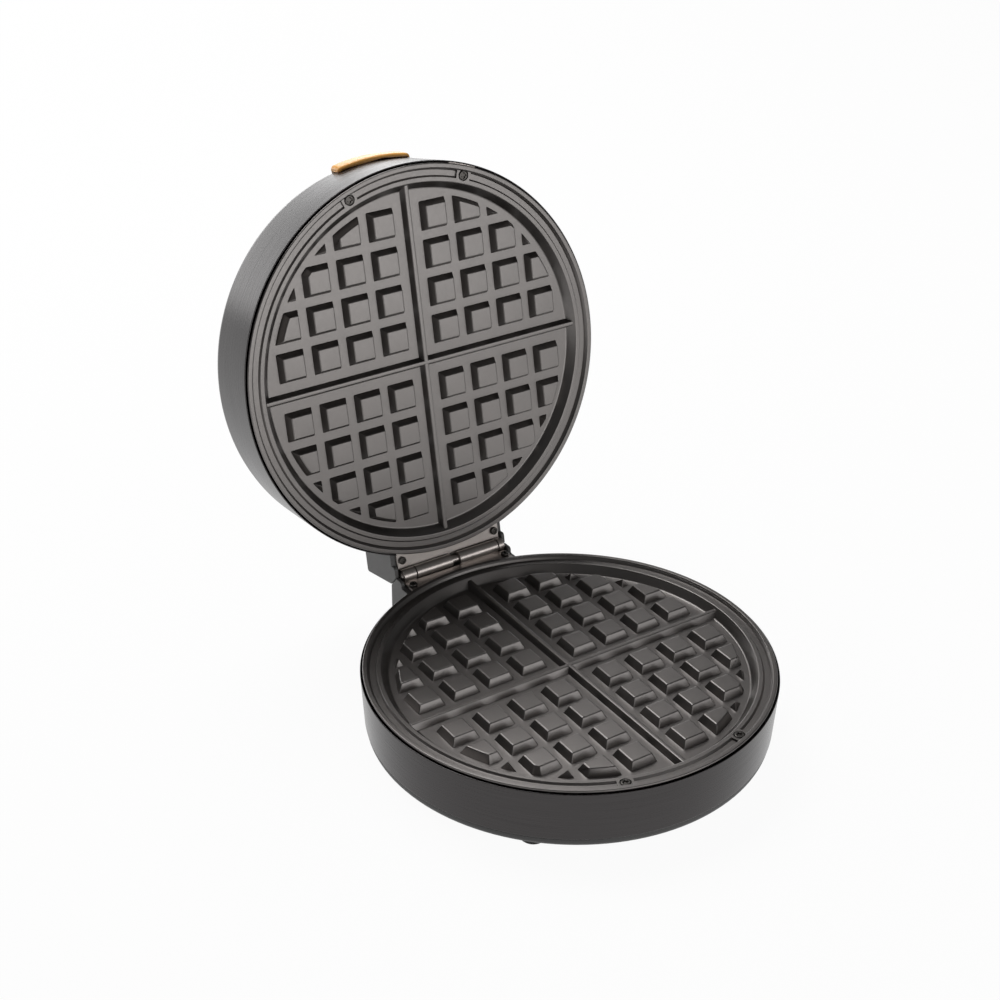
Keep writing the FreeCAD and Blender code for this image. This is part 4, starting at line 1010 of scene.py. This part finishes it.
class Inside:
    """The solids that stay as they are, inside the two halves."""

    def finishes(self) -> dict[str, Finish]:
        """Finish of each kept node.

        Returns:
            Finishes by node name.
        """
        chosen: dict[str, Finish] = {
            "thermostat": CERAMIC, "terminal_block": COVER_PLASTIC, "thermal_fuse": GLASS_SLEEVE,
            "fuse_clip": ZINC_STEEL, "base_block_screws": ZINC_STEEL, "lid_block_screws": ZINC_STEEL,
            "handle_screws": ZINC_STEEL, "power_lamp": LAMP_GLASS, "ready_lamp": LAMP_GLASS,
        }
        for half in Half:
            chosen[half.prefix + "_element"] = ELEMENT_SHEATH
            for fitting in ("_element_clamps", "_clamp_screws", "_plate_brackets"):
                chosen[half.prefix + fitting] = ZINC_STEEL
            chosen[half.prefix + "_reflector"] = ALUMINISED
        return chosen

    def dress(self) -> None:
        """Gives every kept node its finish."""
        for node, finish in self.finishes().items():
            dress_node(node, finish)


# Studio

@dataclass(frozen=True)
class Softbox:
    """Rectangular lamp that the camera doesn't see; sizes in metres."""

    name: str
    place: tuple[float, float, float]
    aim: tuple[float, float, float]
    size: tuple[float, float]
    watts: float

    def build(self) -> None:
        """Hangs the lamp in its place and turns it towards its aim."""
        lamp = bpy.data.lights.new(self.name, "AREA")
        lamp.shape = "RECTANGLE"
        lamp.size, lamp.size_y = self.size
        lamp.energy = self.watts
        holder = bpy.data.objects.new(self.name, lamp)
        holder.location = self.place
        facing = Vector(self.aim) - Vector(self.place)
        holder.rotation_euler = facing.to_track_quat("-Z", "Y").to_euler()
        holder.visible_camera = False
        bpy.context.scene.collection.objects.link(holder)


# One above and behind, a low card in front and a long strip behind.
SOFTBOXES = (
    Softbox("overhead_softbox", place=(0.0, 0.8, 1.2), aim=(0.0, 0.1, 0.1), size=(1.2, 0.8), watts=15.5),
    Softbox("front_card", place=(0.3, -1.6, 0.38), aim=(0.0, 0.0, 0.12), size=(1.7, 0.74), watts=9.4),
    Softbox("back_strip", place=(0.25, 1.7, 0.32), aim=(0.0, 0.0, 0.15), size=(2.8, 0.5), watts=10.0),
)


@dataclass
class Studio:
    """Pale floor, soft light and the camera at the photograph's viewing angle; metres and degrees."""

    floor_half: float = 15.0
    floor_colour: str = "#F4F4F4"
    floor_glow: float = 0.95
    dome: float = 0.12
    sensor_mm: float = 36.0
    lens_mm: float = 68.53
    clip_start: float = 0.05
    azimuth: float = -33.497
    elevation: float = 29.855
    roll: float = 0.59
    distance: float = 0.94276
    target: tuple[float, float, float] = (-0.00012, 0.01895, 0.09602)

    def paper(self) -> bpy.types.Material:
        """White paper: it takes the soft shadow, and looks white to the camera and in reflections.

        Returns:
            The floor's material.
        """
        material, tree = new_material("white_studio_paper")
        path = add_node(tree, "ShaderNodeLightPath")
        shown = add_node(tree, "ShaderNodeMath", {"operation": "MAXIMUM"}, {
            0: path.outputs["Is Camera Ray"], 1: path.outputs["Is Glossy Ray"]})
        shown = add_node(tree, "ShaderNodeMath", {"operation": "MAXIMUM"}, {
            0: shown.outputs[0], 1: path.outputs["Is Transmission Ray"]})
        share = add_node(tree, "ShaderNodeMath", {"operation": "MULTIPLY"}, {
            0: shown.outputs[0], 1: self.floor_glow})
        matt = add_node(tree, "ShaderNodeBsdfDiffuse", None, {"Color": linear(self.floor_colour)})
        glow = add_node(tree, "ShaderNodeEmission", None, {"Color": WHITE, "Strength": 1.0})
        mix = add_node(tree, "ShaderNodeMixShader", None, {
            0: share.outputs[0], 1: matt.outputs[0], 2: glow.outputs[0]})
        add_node(tree, "ShaderNodeOutputMaterial", None, {"Surface": mix.outputs[0]})
        return material

    def floor(self) -> None:
        """Lays the paper floor, which is no part of the object."""
        bm = bmesh.new()
        bmesh.ops.create_grid(bm, x_segments=2, y_segments=2, size=self.floor_half)
        mesh = bpy.data.meshes.new("studio_floor")
        bm.to_mesh(mesh)
        bm.free()
        mesh.materials.append(self.paper())
        floor = bpy.data.objects.new("studio_floor", mesh)
        bpy.context.scene.collection.objects.link(floor)

    def lights(self) -> None:
        """Hangs the softboxes and sets a dim dome round them."""
        for softbox in SOFTBOXES:
            softbox.build()
        world = bpy.data.worlds.new("dim_dome")
        world.use_nodes = True
        world.node_tree.nodes.clear()
        back = add_node(world.node_tree, "ShaderNodeBackground", None, {
            "Color": WHITE, "Strength": self.dome})
        add_node(world.node_tree, "ShaderNodeOutputWorld", None, {"Surface": back.outputs[0]})
        bpy.context.scene.world = world

    def camera(self) -> None:
        """Sets up the camera that was fitted to the photograph."""
        azimuth = math.radians(self.azimuth)
        elevation = math.radians(self.elevation)
        roll = math.radians(self.roll)
        back = Vector((
            math.sin(azimuth) * math.cos(elevation), -math.cos(azimuth) * math.cos(elevation),
            math.sin(elevation)))
        level = Vector((math.cos(azimuth), math.sin(azimuth), 0.0))
        rise = back.cross(level)
        right = level * math.cos(roll) + rise * math.sin(roll)
        up = back.cross(right)
        data = bpy.data.cameras.new("camera")
        data.sensor_width = self.sensor_mm
        data.lens = self.lens_mm
        data.clip_start = self.clip_start
        camera = bpy.data.objects.new("camera", data)
        camera.matrix_world = Matrix.Translation(Vector(self.target) + back * self.distance) @ Matrix(
            (right, up, back)).transposed().to_4x4()
        bpy.context.scene.collection.objects.link(camera)
        bpy.context.scene.camera = camera

    def dress(self) -> None:
        """Sets up the floor, the lights and the camera."""
        bpy.context.scene.view_settings.view_transform = "Standard"
        self.floor()
        self.lights()
        self.camera()


def main() -> None:
    """Builds and dresses the waffle maker, one sub-assembly after another."""
    logging.basicConfig(level=logging.INFO, format="%(message)s")
    Studio().dress()
    for half in Half:
        WafflePlate(half).dress()
        Housing(half).dress()
    HingeSet().dress()
    Underside().dress()
    LidFront().dress()
    Inside().dress()


if __name__ == "__main__":
    main()
